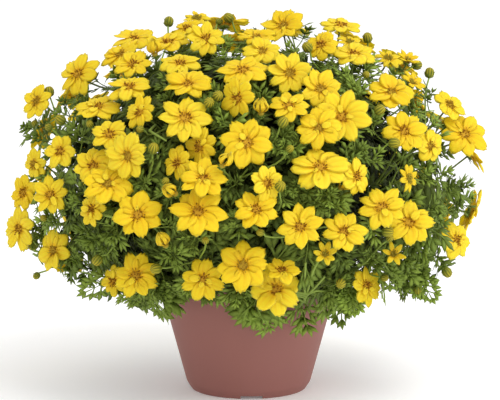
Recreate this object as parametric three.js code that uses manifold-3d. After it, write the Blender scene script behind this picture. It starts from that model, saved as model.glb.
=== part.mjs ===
// Potted arizona beggarticks in full bloom: a round cushion of ferny leaves and yellow blooms that
// hangs over the rim of a small nursery pot. Millimetres, +Z up, front towards -Y. The origin is the
// middle of the pot's footprint on the surface that it stands on.
import * as THREE from 'three';
import { mergeVertices } from 'three/addons/utils/BufferGeometryUtils.js';
import Manifold3d from 'manifold-3d';

const kernel = await Manifold3d();
kernel.setup();

// Pot: a tapered nursery pot with a rolled rim band and a notched foot ring.
const POT = {
  height: 88,
  rimRadius: 69.5,
  rimBand: 15,
  rimStep: 1.6,
  lipRound: 1.4,
  footRadius: 47.2,
  footHeight: 3,
  footRing: [38, 42],
  cornerHeight: 5.5,
  wall: 2.2,
  facets: 28,
  notches: 4,
  notchWidth: 16,
  notchHeight: 2.4,
  notchDepth: 12,
  notchTurn: 3,
  bandEdge: 0.6,
  drains: 6,
  drainRadius: 4,
  drainSides: 6,
  drainCircle: 24,
};

// Potting soil: fills the pot up to a low mound below the rim.
const SOIL = {
  edge: 76,
  crown: 80,
  crownShare: 0.6,
  stemDepth: 24,
  clearance: 0.35,
  holeSpare: 0.9,
  holeSides: 5,
};

// The cushion that the blooms lie on: two half ellipsoids on one level.
const CUSHION = { level: 150, radius: 163, up: 117, down: 93 };

// The standpoint from which the front blooms were measured, and the picture that they are given in.
const VIEW = {
  distance: 1800,
  height: 412,
  aim: [1, 0, 139],
  width: 500,
  depth: 400,
  pixelsPerRadian: 2494,
};

// Open blooms on the side that faces the viewer: place in the picture (x, y), width across the
// petals, how far the bloom tilts away from the viewer and which way (90 is up, 180 is left), in
// degrees, and its number of petals.
const FRONT_BLOOMS = [
  [342, 117, 57, 12, 60, 6],
  [320, 169, 60, 44, 90, 6],
  [198, 213, 59, 32, 95, 6],
  [185, 119, 56, 32, 90, 6],
  [247, 143, 55, 12, 90, 6],
  [464, 135, 51, 34, 60, 5],
  [276, 290, 54, 14, 80, 6],
  [243, 266, 53, 14, 100, 5],
  [243, 72, 53, 55, 90, 6],
  [108, 185, 53, 34, 95, 8],
  [188, 86, 52, 55, 92, 6],
  [391, 94, 51, 48, 80, 6],
  [382, 208, 50, 28, 90, 5],
  [409, 223, 50, 22, 60, 5],
  [138, 215, 50, 15, 120, 5],
  [129, 156, 49, 33, 175, 5],
  [203, 180, 49, 38, 90, 8],
  [256, 211, 48, 32, 90, 5],
  [300, 227, 48, 12, 90, 5],
  [136, 276, 48, 14, 120, 5],
  [319, 129, 48, 26, 100, 8],
  [98, 109, 48, 60, 100, 5],
  [79, 75, 48, 45, 135, 5],
  [284, 27, 47, 46, 110, 5],
  [344, 233, 46, 30, 80, 5],
  [404, 132, 46, 24, 70, 5],
  [320, 90, 46, 28, 60, 5],
  [290, 74, 46, 22, 90, 5],
  [129, 89, 46, 56, 95, 5],
  [134, 41, 46, 62, 95, 5],
  [180, 65, 45, 58, 95, 5],
  [21, 229, 46, 46, 178, 5],
  [169, 44, 44, 62, 100, 5],
  [354, 56, 44, 56, 85, 5],
  [203, 280, 44, 14, 100, 8],
  [340, 27, 43, 66, 85, 5],
  [289, 107, 43, 44, 95, 8],
  [94, 167, 43, 28, 120, 5],
  [55, 251, 43, 42, 170, 5],
  [121, 56, 42, 58, 120, 5],
  [262, 53, 42, 48, 90, 5],
  [256, 39, 42, 64, 90, 5],
  [239, 98, 42, 38, 180, 5],
  [201, 147, 42, 40, 170, 5],
  [455, 241, 42, 42, 10, 5],
  [365, 286, 42, 45, 10, 5],
  [133, 66, 40, 46, 100, 5],
  [206, 40, 40, 28, 90, 5],
  [110, 136, 40, 38, 110, 5],
  [51, 195, 40, 18, 170, 5],
  [449, 106, 38, 50, 50, 5],
  [38, 102, 38, 45, 150, 5],
  [61, 152, 38, 32, 140, 5],
  [266, 183, 38, 32, 0, 5],
  [355, 177, 38, 48, 0, 5],
  [25, 193, 37, 42, 175, 5],
  [141, 113, 37, 40, 150, 5],
  [322, 46, 36, 42, 120, 5],
  [179, 163, 36, 40, 170, 5],
  [429, 146, 36, 42, 0, 5],
  [282, 272, 36, 40, 80, 5],
  [93, 210, 34, 40, 170, 5],
  [115, 281, 34, 40, 180, 5],
  [36, 164, 32, 45, 180, 5],
  [188, 30, 32, 52, 110, 5],
  [197, 20, 30, 60, 90, 5],
  [350, 44, 30, 60, 80, 5],
  [388, 60, 30, 55, 75, 5],
  [407, 178, 30, 52, 0, 5],
  [411, 84, 28, 55, 50, 5],
  [407, 62, 26, 62, 70, 4],
  [393, 255, 26, 20, 60, 4],
  [325, 255, 26, 20, 90, 4],
  [166, 246, 24, 40, 120, 4],
  [261, 114, 24, 45, 90, 4],
  [176, 194, 24, 40, 150, 4],
  [222, 166, 24, 40, 60, 4],
  [155, 55, 24, 50, 100, 4],
  [340, 188, 24, 45, 40, 4],
];

// Blooms of the far side lie on an even spiral over the cushion.
const BACK_BLOOMS = {
  places: 150,
  rise: [0.97, -0.65],
  spacing: 38,
  hiddenBelow: -0.22,
  across: [35, 41],
  petals: 5,
  sway: 0.5,
  swayMiddle: [0.5, 0.5, 0.2],
  outset: 5,
};

// Bloom form, as shares of its radius, and thicknesses in millimetres.
const BLOOM = {
  shoulder: 0.8,
  shoulderTurn: 25,
  valley: { 4: 0.3, 5: 0.3, 6: 0.36, 8: 0.5 },
  disc: 0.26,
  discHeight: 2.6,
  discEdge: 0.55,
  calyxDepth: 1.8,
  valleyDrop: 0.4,
  shoulderDrop: 0.5,
  shoulderLift: 0.6,
  widestShare: 0.44,
  cup: [0.02, 0.18],
  halfOpenBelow: 10,
  halfOpenCup: 0.75,
  whorlStep: 0.09,
  sway: 0.12,
  reach: [0.95, 1.05],
  gap: 0.6,
};
const DEPTH_STEPS = [0, 6, 12, -6, 18, -12, 24, -18, 30, 36];

// Sprays: a few neighbouring blooms on thin stalks that meet in a fork below them.
const SPRAY = {
  count: 40,
  lowest: -0.72,
  forkShare: 0.7,
  stalk: 1,
  straight: 0.85,
  collar: 1.7,
  step: 0.3,
  middleMember: 3,
  foot: 8,
  footRadius: 1.2,
  neckRadius: 1.3,
  node: 4,
  nodeAbove: 0.5,
  tipRadius: 0.6,
  seat: 0.4,
};

// Stalks and limbs: their sides, the points along a curved one, how far its ends keep their own
// direction, how it thins, and the sideways bows that it may take to pass its neighbours.
const LIMB = {
  sides: 3,
  shares: [0, 0.5, 1],
  pull: 0.36,
  rootShare: 1.1,
  thinning: 0.12,
  bows: [9, 16, 24],
  bowWays: 6,
};

// Leafy stems: each rises from its own hole in the soil, forks, and carries a few sprays.
const STEM = {
  count: 15,
  lowest: -0.5,
  kneeShares: [0.55, 0.48, 0.62, 0.4, 0.7],
  stem: 2.3,
  sides: 4,
  thinning: 0.12,
  mouth: 1,
  branch: 1.5,
  shoot: 1.1,
  sink: 1.5,
  step: 1.8,
  straight: 0.9,
  holeCircle: 30,
  gap: 0.28,
};
const HEART = [0, 0, 96];
const RIM_CLEARANCE = 17;
const CORE = { radii: [25, 22, 19, 16, 13, 10], lift: 0.2, flatness: 0.9 };
const SHOOTS = { count: 34, reach: 0.82, rise: [0.95, -0.75], firstTurn: 1, kneeStretch: 0.5 };
const HIGHEST = 0.93;
const FUSE_TOLERANCE = 0.3;

// Leaf form: stations along the rib, and the reach of the leaflet tips, as shares of its length.
const LEAF = {
  rib: [0.22, 0.42, 0.6, 0.76],
  tipRun: [0.44, 0.66, 0.84],
  tipSpread: [0.42, 0.36, 0.24],
  notch: 0.04,
  notchRun: 0.01,
  halfThickness: 0.85,
  length: [44, 58],
  short: 0.8,
  droop: 0.26,
  fold: 0.35,
  gap: 0.4,
  ways: 18,
  spread: [45, 85],
  rootDepth: [1.5, 4.5],
  foot: 0.05,
  onBranches: 1,
  onShoots: 2,
};
const BUD = {
  length: 9,
  radius: 3.6,
  widest: 0.4,
  tipRadius: 0.48,
  sides: 3,
  stalk: 0.8,
  tries: 3,
  erect: 0.8,
};

// Buds that stand out in the picture: place (x, y).
const BUDS = [
  [232, 21], [168, 26], [50, 97], [65, 123], [216, 98], [208, 104], [152, 153], [280, 127],
  [279, 189], [310, 51], [368, 42], [413, 66], [429, 78], [375, 113], [389, 143], [382, 231],
  [342, 282], [444, 268], [417, 286], [37, 244], [101, 256], [161, 268],
];

// The traits that vary from one bloom, petal or leaf to the next.
const TRAIT = {
  sway: 1,
  size: 4,
  turn: 6,
  cup: 7,
  petalTurn: 20,
  petalRise: 40,
  petalReach: 60,
  leafTurn: 80,
  leafLength: 81,
  leafRoot: 82,
};

const vec = (x, y, z) => new THREE.Vector3(x, y, z);
const radians = (degrees) => (degrees * Math.PI) / 180;
const UP = vec(0, 0, 1);
const FRONT = vec(0, -1, 0);
const GOLDEN = Math.PI * (3 - Math.sqrt(5));

// A repeatable number from 0 to 1 for one item and one trait of it.
function trait(item, kind) {
  let h = Math.imul(item + 1, 0x9e3779b1) ^ Math.imul(kind + 1, 0x85ebca6b);
  h = Math.imul(h ^ (h >>> 15), 0x2c1b3c6d);
  h = Math.imul(h ^ (h >>> 12), 0x297a2d39);
  return ((h ^ (h >>> 15)) >>> 0) / 4294967296;
}

const between = ([low, high], share) => low + (high - low) * share;

// Solids and meshes.

function solidFrom(points, triangles) {
  const vertProperties = new Float32Array(points.flatMap((p) => [p.x, p.y, p.z]));
  const triVerts = new Uint32Array(triangles.flat());
  return new kernel.Manifold(new kernel.Mesh({ numProp: 3, vertProperties, triVerts }));
}

function solidOf(geometry) {
  geometry.deleteAttribute('normal');
  geometry.deleteAttribute('uv');
  const merged = mergeVertices(geometry, 1e-4);
  const triangles = [];
  for (let i = 0; i < merged.index.count; i += 3) {
    const [a, b, c] = [0, 1, 2].map((k) => merged.index.getX(i + k));
    if (a !== b && b !== c && c !== a) triangles.push([a, b, c]);
  }
  const points = [];
  for (let i = 0; i < merged.attributes.position.count; i += 1) {
    points.push(new THREE.Vector3().fromBufferAttribute(merged.attributes.position, i));
  }
  return solidFrom(points, triangles);
}

const joined = (solids) => kernel.Manifold.union(solids);

// The largest body of a fused solid: scraps that fusing leaves loose are dropped.
function mainBody(solid) {
  const bodies = solid.decompose();
  return bodies.reduce((best, body) => (body.volume() > best.volume() ? body : best));
}

function boxesMeet(a, b, spare) {
  return [0, 1, 2].every((k) => a.min[k] - spare < b.max[k] && b.min[k] - spare < a.max[k]);
}

const entry = (solid) => ({ solid, box: solid.boundingBox() });

// True where a solid keeps the wanted gap to every obstacle.
function isClear(solid, obstacles, gap) {
  const box = solid.boundingBox();
  return obstacles.every(
    (o) => !boxesMeet(box, o.box, gap) || solid.minGap(o.solid, gap + 0.1) > gap,
  );
}

function meshOf(name, solid, material) {
  const data = solid.getMesh();
  const geometry = new THREE.BufferGeometry();
  geometry.setAttribute('position', new THREE.BufferAttribute(data.vertProperties, data.numProp));
  geometry.setIndex(new THREE.BufferAttribute(data.triVerts, 1));
  const mesh = new THREE.Mesh(geometry, material);
  mesh.name = name;
  return mesh;
}

// A frame of three square axes whose third is the given direction.
function frameAbout(direction) {
  const w = direction.clone().normalize();
  const u = new THREE.Vector3().crossVectors(Math.abs(w.z) < 0.95 ? UP : FRONT, w).normalize();
  return { u, v: new THREE.Vector3().crossVectors(w, u), w };
}

const placed = (origin, { u, v, w }, x, y, z) =>
  origin.clone().addScaledVector(u, x).addScaledVector(v, y).addScaledVector(w, z);

// An axis that lies well across a direction.
function crossAxis(direction) {
  const lean = [Math.abs(direction.x), Math.abs(direction.y), Math.abs(direction.z)];
  const least = lean.indexOf(Math.min(...lean));
  return vec(least === 0 ? 1 : 0, least === 1 ? 1 : 0, least === 2 ? 1 : 0);
}

// Rings of corners round a run of points, carried along it without twist.
function ringsAlong(run, radii, sides, firstSide, lastAim = null) {
  const rings = [];
  const last = run.length - 1;
  let side = firstSide;
  run.forEach((point, k) => {
    const ahead = run[Math.min(k + 1, last)].clone().sub(run[Math.max(k - 1, 0)]).normalize();
    const aim = k === last && lastAim ? lastAim : ahead;
    side = side.clone().addScaledVector(aim, -side.dot(aim)).normalize();
    const top = new THREE.Vector3().crossVectors(side, aim);
    for (let i = 0; i < sides; i += 1) {
      const turn = (2 * Math.PI * i) / sides;
      rings.push(
        point.clone()
          .addScaledVector(side, radii[k] * Math.cos(turn))
          .addScaledVector(top, radii[k] * Math.sin(turn)),
      );
    }
  });
  return rings;
}

// The faces between the rings of a tube whose corners start at the given index, and its far end.
function tubeFaces(first, count, sides) {
  const faces = [];
  for (let k = 0; k < count - 1; k += 1) {
    for (let i = 0; i < sides; i += 1) {
      const a = first + k * sides + i;
      const b = first + k * sides + ((i + 1) % sides);
      faces.push([a, a + sides, b], [b, a + sides, b + sides]);
    }
  }
  const last = first + (count - 1) * sides;
  for (let i = 1; i < sides - 1; i += 1) faces.push([last, last + i + 1, last + i]);
  return faces;
}

// A tapering stalk through the given points, with flat ends.
function tube(run, radii, sides, lastAim = null) {
  const firstSide = crossAxis(run[run.length - 1].clone().sub(run[0]));
  const faces = tubeFaces(0, run.length, sides);
  for (let i = 1; i < sides - 1; i += 1) faces.push([0, i, i + 1]);
  return solidFrom(ringsAlong(run, radii, sides, firstSide, lastAim), faces);
}

// Points along a smooth limb that leaves its start and reaches its end in the given directions.
function limbPoints(start, startAim, end, endAim, bow) {
  const reach = start.distanceTo(end) * LIMB.pull;
  const curve = new THREE.CubicBezierCurve3(
    start,
    start.clone().addScaledVector(startAim, reach).add(bow),
    end.clone().addScaledVector(endAim, -reach).add(bow),
    end,
  );
  return LIMB.shares.map((share) => curve.getPoint(share));
}

// The sideways bows that a limb may take to pass its neighbours, the straight run first.
function bowsOf(start, end) {
  const { u, v } = frameAbout(end.clone().sub(start));
  const bows = [vec(0, 0, 0)];
  for (const size of LIMB.bows) {
    for (let i = 0; i < LIMB.bowWays; i += 1) {
      const turn = (2 * Math.PI * i) / LIMB.bowWays;
      bows.push(
        u.clone().multiplyScalar(size * Math.cos(turn)).addScaledVector(v, size * Math.sin(turn)),
      );
    }
  }
  return bows;
}

// Where the line of sight through a point of the picture meets the cushion.

const eye = vec(VIEW.aim[0], -VIEW.distance, VIEW.height);
const sight = vec(...VIEW.aim).sub(eye).normalize();
const sightRight = vec(1, 0, 0);
const sightUp = new THREE.Vector3().crossVectors(sightRight, sight);

const isLow = (z) => z < CUSHION.level;
const scaleZ = (low) => CUSHION.radius / (low ? CUSHION.down : CUSHION.up);

function sightLine(x, y) {
  return sight.clone().multiplyScalar(VIEW.pixelsPerRadian)
    .addScaledVector(sightRight, x - VIEW.width / 2)
    .addScaledVector(sightUp, VIEW.depth / 2 - y)
    .normalize();
}

function meetCushion(ray, low) {
  const squash = (p) => vec(p.x, p.y, p.z * scaleZ(low));
  const from = squash(eye.clone().sub(vec(0, 0, CUSHION.level)));
  const run = squash(ray);
  const a = run.dot(run);
  const b = from.dot(run);
  const c = from.dot(from) - CUSHION.radius ** 2;
  return (-b - Math.sqrt(Math.max(b * b - a * c, 0))) / a;
}

function placeInSight(x, y, back) {
  const ray = sightLine(x, y);
  let depth = meetCushion(ray, false);
  if (isLow(eye.z + ray.z * depth)) depth = meetCushion(ray, true);
  return eye.clone().addScaledVector(ray, depth + back);
}

function cushionPoint(turn, rise) {
  const flat = Math.sqrt(1 - rise * rise);
  const height = rise < 0 ? CUSHION.down : CUSHION.up;
  return vec(
    CUSHION.radius * flat * Math.cos(turn),
    CUSHION.radius * flat * Math.sin(turn),
    CUSHION.level + height * rise,
  );
}

function cushionNormal(point) {
  const k = scaleZ(isLow(point.z));
  return vec(point.x, point.y, (point.z - CUSHION.level) * k * k).normalize();
}

// Blooms.

function frontBloom([x, y, across, tilt, lean, petals]) {
  const nominal = placeInSight(x, y, 0);
  const toEye = eye.clone().sub(nominal);
  const facing = toEye.clone().normalize().multiplyScalar(Math.cos(radians(tilt)))
    .addScaledVector(sightRight, Math.sin(radians(tilt)) * Math.cos(radians(lean)))
    .addScaledVector(sightUp, Math.sin(radians(tilt)) * Math.sin(radians(lean)));
  const radius = (across * toEye.length()) / VIEW.pixelsPerRadian / 2;
  return { nominal, retreat: sightLine(x, y), facing: facing.normalize(), radius, petals };
}

function backBlooms(front) {
  const kept = [];
  for (let i = 0; i < BACK_BLOOMS.places; i += 1) {
    const rise = between(BACK_BLOOMS.rise, (i + 0.5) / BACK_BLOOMS.places);
    const place = cushionPoint(i * GOLDEN, rise);
    const normal = cushionNormal(place);
    const nominal = place.addScaledVector(normal, BACK_BLOOMS.outset);
    const seen = normal.dot(eye.clone().sub(nominal).normalize());
    const near = [...front, ...kept].some((b) => b.nominal.distanceTo(nominal) < BACK_BLOOMS.spacing);
    if (seen < BACK_BLOOMS.hiddenBelow && !near) {
      const sway = vec(...BACK_BLOOMS.swayMiddle.map((m, k) => trait(i, TRAIT.sway + k) - m));
      kept.push({
        nominal,
        retreat: normal.clone().negate(),
        facing: normal.clone().addScaledVector(sway, BACK_BLOOMS.sway).normalize(),
        radius: between(BACK_BLOOMS.across, trait(i, TRAIT.size)) / 2,
        petals: BACK_BLOOMS.petals,
      });
    }
  }
  return kept;
}

// The skin of one bloom, open below: a star of petals that rise to a low disc.
function bloomSkin(bloom, index, step) {
  const { radius, petals } = bloom;
  const centre = bloom.nominal.clone().addScaledVector(bloom.retreat, step);
  const axes = frameAbout(bloom.facing);
  const points = [];
  const add = (r, turn, z) => {
    points.push(placed(centre, axes, r * Math.cos(turn), r * Math.sin(turn), z));
    return points.length - 1;
  };
  const pitch = (2 * Math.PI) / petals;
  const start = trait(index, TRAIT.turn) * pitch;
  const openCup = between(BLOOM.cup, trait(index, TRAIT.cup));
  const cup = radius < BLOOM.halfOpenBelow ? BLOOM.halfOpenCup : openCup;
  const half = Math.min(radians(BLOOM.shoulderTurn), pitch * BLOOM.widestShare);
  const sway = (kind) => BLOOM.sway * (trait(index, kind) - 0.5);
  const valley = [];
  const ring = [];
  for (let i = 0; i < petals; i += 1) {
    const edge = start + (i - 0.5) * pitch;
    valley.push(add(BLOOM.valley[petals] * radius, edge, -BLOOM.valleyDrop));
    ring.push(add(BLOOM.disc * radius, edge, BLOOM.discHeight * BLOOM.discEdge));
  }
  const crown = add(0, 0, BLOOM.discHeight);
  const faces = [];
  for (let i = 0; i < petals; i += 1) {
    const next = (i + 1) % petals;
    const turn = start + (i + sway(TRAIT.petalTurn + i)) * pitch;
    const whorl = petals > 6 ? BLOOM.whorlStep * (i % 2 ? 1 : -1) : 0;
    const rise = cup + whorl + sway(TRAIT.petalRise + i);
    const reach = radius * between(BLOOM.reach, trait(index, TRAIT.petalReach + i));
    const shoulderRise = rise * radius * BLOOM.shoulderLift - BLOOM.shoulderDrop;
    const left = add(reach * BLOOM.shoulder, turn - half, shoulderRise);
    const tip = add(reach, turn, rise * radius);
    const right = add(reach * BLOOM.shoulder, turn + half, shoulderRise);
    faces.push(
      [crown, ring[i], ring[next]],
      [ring[i], valley[i], left],
      [ring[i], left, tip],
      [ring[i], tip, ring[next]],
      [ring[next], tip, right],
      [ring[next], right, valley[next]],
      [valley[i], tip, left],
      [valley[i], valley[next], tip],
      [valley[next], right, tip],
    );
  }
  const firstSide = axes.u.clone().multiplyScalar(Math.cos(start - pitch / 2))
    .addScaledVector(axes.v, Math.sin(start - pitch / 2));
  return { points, faces, valley, centre, facing: bloom.facing, firstSide };
}

function bloomSolid({ points, faces, valley }) {
  const under = valley.slice(2).map((corner, i) => [valley[0], corner, valley[i + 1]]);
  return solidFrom(points, [...faces, ...under]);
}

// The course of the thin stalk from the back of a bloom to its place on the fork.
function stalkRun(seat, spray, bow) {
  const place = (spray.members.indexOf(seat) - SPRAY.middleMember) * SPRAY.step;
  const end = spray.fork.clone().addScaledVector(spray.aim, place);
  const start = seat.centre.clone().addScaledVector(seat.facing, -BLOOM.calyxDepth);
  const aim = seat.facing.clone().negate();
  const chord = end.clone().sub(start).normalize();
  const straight = bow.length() === 0 && chord.dot(aim) > SPRAY.straight;
  if (straight) return [start, end];
  return limbPoints(start, aim, end, spray.aim.clone().negate(), bow);
}

const stalkRadii = (run) => run.map((_, k) => (k === 0 ? SPRAY.collar : SPRAY.stalk));

// A bloom and its stalk in one skin: the calyx closes from the petals' roots to the stalk.
function bloomOnStalk({ points, faces, valley, firstSide }, run) {
  const corner = points.length;
  const under = [];
  const root = (k) => Math.round((k * valley.length) / LIMB.sides);
  for (let k = 0; k < LIMB.sides; k += 1) {
    for (let i = root(k); i < root(k + 1); i += 1) {
      under.push([valley[(i + 1) % valley.length], valley[i], corner + k]);
    }
    under.push([valley[root(k + 1) % valley.length], corner + k, corner + ((k + 1) % LIMB.sides)]);
  }
  const rings = ringsAlong(run, stalkRadii(run), LIMB.sides, firstSide);
  const stalk = tubeFaces(corner, run.length, LIMB.sides);
  return solidFrom([...points, ...rings], [...faces, ...under, ...stalk]);
}

// The fork of a spray: a short foot that swells into the node that the stalks leave.
function forkSolid({ fork, aim, foot }) {
  const along = (span) => fork.clone().addScaledVector(aim, span);
  return tube(
    [foot, along(-SPRAY.node), along(SPRAY.nodeAbove), along(SPRAY.node)],
    [SPRAY.footRadius, SPRAY.neckRadius, SPRAY.node, SPRAY.tipRadius],
    LIMB.sides,
  );
}

const heart = vec(...HEART);

// A point part of the way from the heart of the plant, kept above the pot's rim.
function towards(target, share) {
  const point = heart.clone().lerp(target, share);
  point.z = Math.max(point.z, POT.height + RIM_CLEARANCE);
  return point;
}

const meanOf = (points) =>
  points.reduce((sum, p) => sum.add(p), vec(0, 0, 0)).divideScalar(points.length);

// Items shared out to the nearest of a number of even places over the cushion.
function shareOut(items, placeOf, count, lowest) {
  const places = [];
  for (let i = 0; i < count; i += 1) {
    places.push(cushionPoint(i * GOLDEN, between([HIGHEST, lowest], (i + 0.5) / count)));
  }
  const groups = places.map((place, index) => ({ index, members: [] }));
  items.forEach((item) => {
    const spans = places.map((place) => place.distanceTo(placeOf(item)));
    groups[spans.indexOf(Math.min(...spans))].members.push(item);
  });
  return groups.filter((group) => group.members.length > 0);
}

// Pot and soil.

const taper = (POT.rimRadius - POT.footRadius) / (POT.height - POT.cornerHeight);
const wallRadius = (z) => POT.footRadius + (z - POT.cornerHeight) * taper - POT.rimStep;
const insideRadius = (z) => wallRadius(z) - POT.wall;
const floorTop = POT.footHeight + POT.wall;

function turned(profile) {
  const points = profile.map(([r, z]) => new THREE.Vector2(r, z));
  return solidOf(new THREE.LatheGeometry(points, POT.facets).rotateX(Math.PI / 2));
}

function potSolid() {
  const [ringInside, ringOutside] = POT.footRing;
  const bandLow = POT.height - POT.rimBand;
  const body = turned([
    [0, POT.footHeight],
    [ringInside, POT.footHeight],
    [ringInside, 0],
    [ringOutside, 0],
    [wallRadius(POT.cornerHeight), POT.cornerHeight],
    [wallRadius(bandLow), bandLow],
    [wallRadius(bandLow) + POT.rimStep, bandLow + POT.bandEdge],
    [POT.rimRadius, POT.height - POT.lipRound],
    [POT.rimRadius - POT.lipRound, POT.height],
    [insideRadius(POT.height), POT.height],
    [insideRadius(floorTop), floorTop],
    [0, floorTop],
  ]);
  const cuts = [];
  for (let i = 0; i < POT.notches; i += 1) {
    const notch = new THREE.BoxGeometry(POT.notchWidth, POT.notchDepth, POT.notchHeight * 2)
      .translate(0, -(ringInside + ringOutside) / 2, 0)
      .rotateZ(radians(POT.notchTurn) + (2 * Math.PI * i) / POT.notches);
    cuts.push(solidOf(notch));
  }
  for (let i = 0; i < POT.drains; i += 1) {
    const turn = (2 * Math.PI * (i + 0.5)) / POT.drains;
    const drain = new THREE.CylinderGeometry(
      POT.drainRadius, POT.drainRadius, floorTop * 2, POT.drainSides,
    )
      .rotateX(Math.PI / 2)
      .translate(POT.drainCircle * Math.cos(turn), POT.drainCircle * Math.sin(turn), POT.footHeight);
    cuts.push(solidOf(drain));
  }
  return body.subtract(joined(cuts));
}

function soilSolid(holes) {
  const gap = SOIL.clearance;
  const low = floorTop + gap;
  const body = turned([
    [0, low],
    [insideRadius(low) - gap, low],
    [insideRadius(SOIL.edge) - gap, SOIL.edge],
    [insideRadius(SOIL.edge) * SOIL.crownShare, SOIL.crown],
    [0, SOIL.crown],
  ]);
  const radius = STEM.stem + SOIL.holeSpare;
  const drills = holes.map(({ x, y }) =>
    solidOf(
      new THREE.CylinderGeometry(radius, radius, SOIL.stemDepth * 2, SOIL.holeSides)
        .rotateX(Math.PI / 2)
        .translate(x, y, SOIL.crown),
    ),
  );
  return body.subtract(joined(drills));
}

// Blooms and sprays.

const pot = potSolid();
const potEntry = entry(pot);

function seatBlooms() {
  const front = FRONT_BLOOMS.map(frontBloom);
  const seats = [];
  [...front, ...backBlooms(front)].forEach((bloom, index) => {
    for (const step of DEPTH_STEPS) {
      const skin = bloomSkin(bloom, index, step);
      const solid = bloomSolid(skin);
      if (isClear(solid, [potEntry, ...seats], BLOOM.gap)) {
        seats.push({ ...skin, ...entry(solid), nominal: bloom.nominal });
        return;
      }
    }
    throw new Error(`no free seat for bloom ${index}`);
  });
  return seats;
}

function growSprays(seats) {
  const sprays = shareOut(seats, (seat) => seat.nominal, SPRAY.count, SPRAY.lowest);
  const stalks = [];
  for (const spray of sprays) {
    const middle = meanOf(spray.members.map((seat) => seat.nominal));
    spray.fork = towards(middle, SPRAY.forkShare);
    spray.aim = middle.clone().sub(spray.fork).normalize();
    spray.foot = spray.fork.clone().addScaledVector(spray.aim, -SPRAY.foot);
    const solids = [forkSolid(spray)];
    for (const seat of spray.members) {
      const others = [
        potEntry,
        ...seats.filter((other) => other !== seat),
        ...stalks.filter((stalk) => stalk.spray !== spray),
      ];
      const runs = bowsOf(seat.centre, spray.fork).map((bow) => stalkRun(seat, spray, bow));
      const run = runs.find((r) => isClear(tube(r, stalkRadii(r), LIMB.sides), others, BLOOM.gap));
      if (!run) throw new Error('no free run for a stalk');
      stalks.push({ ...entry(tube(run, stalkRadii(run), LIMB.sides)), spray });
      solids.push(bloomOnStalk(seat, run));
    }
    spray.solid = mainBody(joined(solids).asOriginal().simplify(FUSE_TOLERANCE));
  }
  return sprays;
}

// One leaf: a thin arched blade cut to the rib into pairs of pointed leaflets and an end leaflet.
function leafSolid({ root, run, face, length }) {
  const w = face.clone().addScaledVector(run, -face.dot(run)).normalize();
  const axes = { u: run, v: new THREE.Vector3().crossVectors(w, run), w };
  const points = [];
  const add = (x, y, lift) => {
    const sag = -(LEAF.droop * x * x + LEAF.fold * Math.abs(y)) * length;
    points.push(placed(root, axes, x * length, y * length, sag + lift));
    return points.length - 1;
  };
  const foot = add(-LEAF.foot, 0, 0);
  const end = add(1, 0, 0);
  const top = LEAF.rib.map((x) => add(x, 0, LEAF.halfThickness));
  const under = LEAF.rib.map((x) => add(x, 0, -LEAF.halfThickness));
  const faces = [];
  for (const side of [1, -1]) {
    const notch = LEAF.rib.map((x) => add(x + LEAF.notchRun, side * LEAF.notch, 0));
    const tips = LEAF.tipRun.map((x, k) => add(x, side * LEAF.tipSpread[k], 0));
    for (const [rib, turn] of [[top, side], [under, -side]]) {
      const skin = [[foot, rib[0], notch[0]]];
      tips.forEach((tip, k) => {
        skin.push([rib[k], tip, notch[k]]);
        skin.push([rib[k], notch[k + 1], tip]);
        skin.push([rib[k], rib[k + 1], notch[k + 1]]);
      });
      skin.push([rib[tips.length], end, notch[tips.length]]);
      faces.push(...skin.map(([a, b, c]) => (turn > 0 ? [a, b, c] : [a, c, b])));
    }
  }
  return solidFrom(points, faces);
}

// A closed bud on its stalk: a pointed oval of bracts.
function budSolid(run) {
  const base = run[run.length - 1];
  const aim = base.clone().sub(run[run.length - 2]).normalize();
  const along = (share) => base.clone().addScaledVector(aim, BUD.length * share);
  const radii = [...run.map(() => BUD.stalk), BUD.radius, BUD.tipRadius];
  return tube([...run, along(BUD.widest), along(1)], radii, BUD.sides);
}

// The foot of a stem in its hole: the holes lie on an even spiral, each on its stem's side.
function stemSeat(index) {
  const reach = STEM.holeCircle * Math.sqrt((index + 0.5) / STEM.count);
  const depth = SOIL.crown - SOIL.stemDepth + SOIL.clearance;
  return vec(reach * Math.cos(index * GOLDEN), reach * Math.sin(index * GOLDEN), depth);
}

// The leafy stems: each rises from its hole, forks at its knee and ends just below its sprays.
function raiseStems(sprays, taken) {
  const stems = shareOut(sprays, (spray) => spray.fork, STEM.count, STEM.lowest);
  for (const stem of stems) {
    const middle = meanOf(stem.members.map((spray) => spray.fork.clone()));
    stem.seat = stemSeat(stem.index);
    const mouth = vec(stem.seat.x, stem.seat.y, SOIL.crown + STEM.mouth);
    for (const share of STEM.kneeShares) {
      stem.knee = towards(middle, share);
      stem.aim = middle.clone().sub(stem.knee).normalize();
      const runs = bowsOf(mouth, stem.knee).map((bow) => [
        stem.seat,
        ...limbPoints(mouth, UP, stem.knee, stem.aim, bow),
      ]);
      const radii = runs[0].map((_, k) => STEM.stem - STEM.thinning * k);
      const solids = runs.map((run) => tube(run, radii, STEM.sides));
      const solid = solids.find((s) => isClear(s, taken, STEM.gap));
      if (solid) {
        stem.solids = [solid];
        stem.back = runs[solids.indexOf(solid)].at(-2).clone().sub(stem.knee).normalize();
        break;
      }
    }
    if (!stem.solids) throw new Error('no free run for a stem');
    stem.tips = [];
    taken.push({ ...entry(stem.solids[0]), stem });
  }
  return stems;
}

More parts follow.
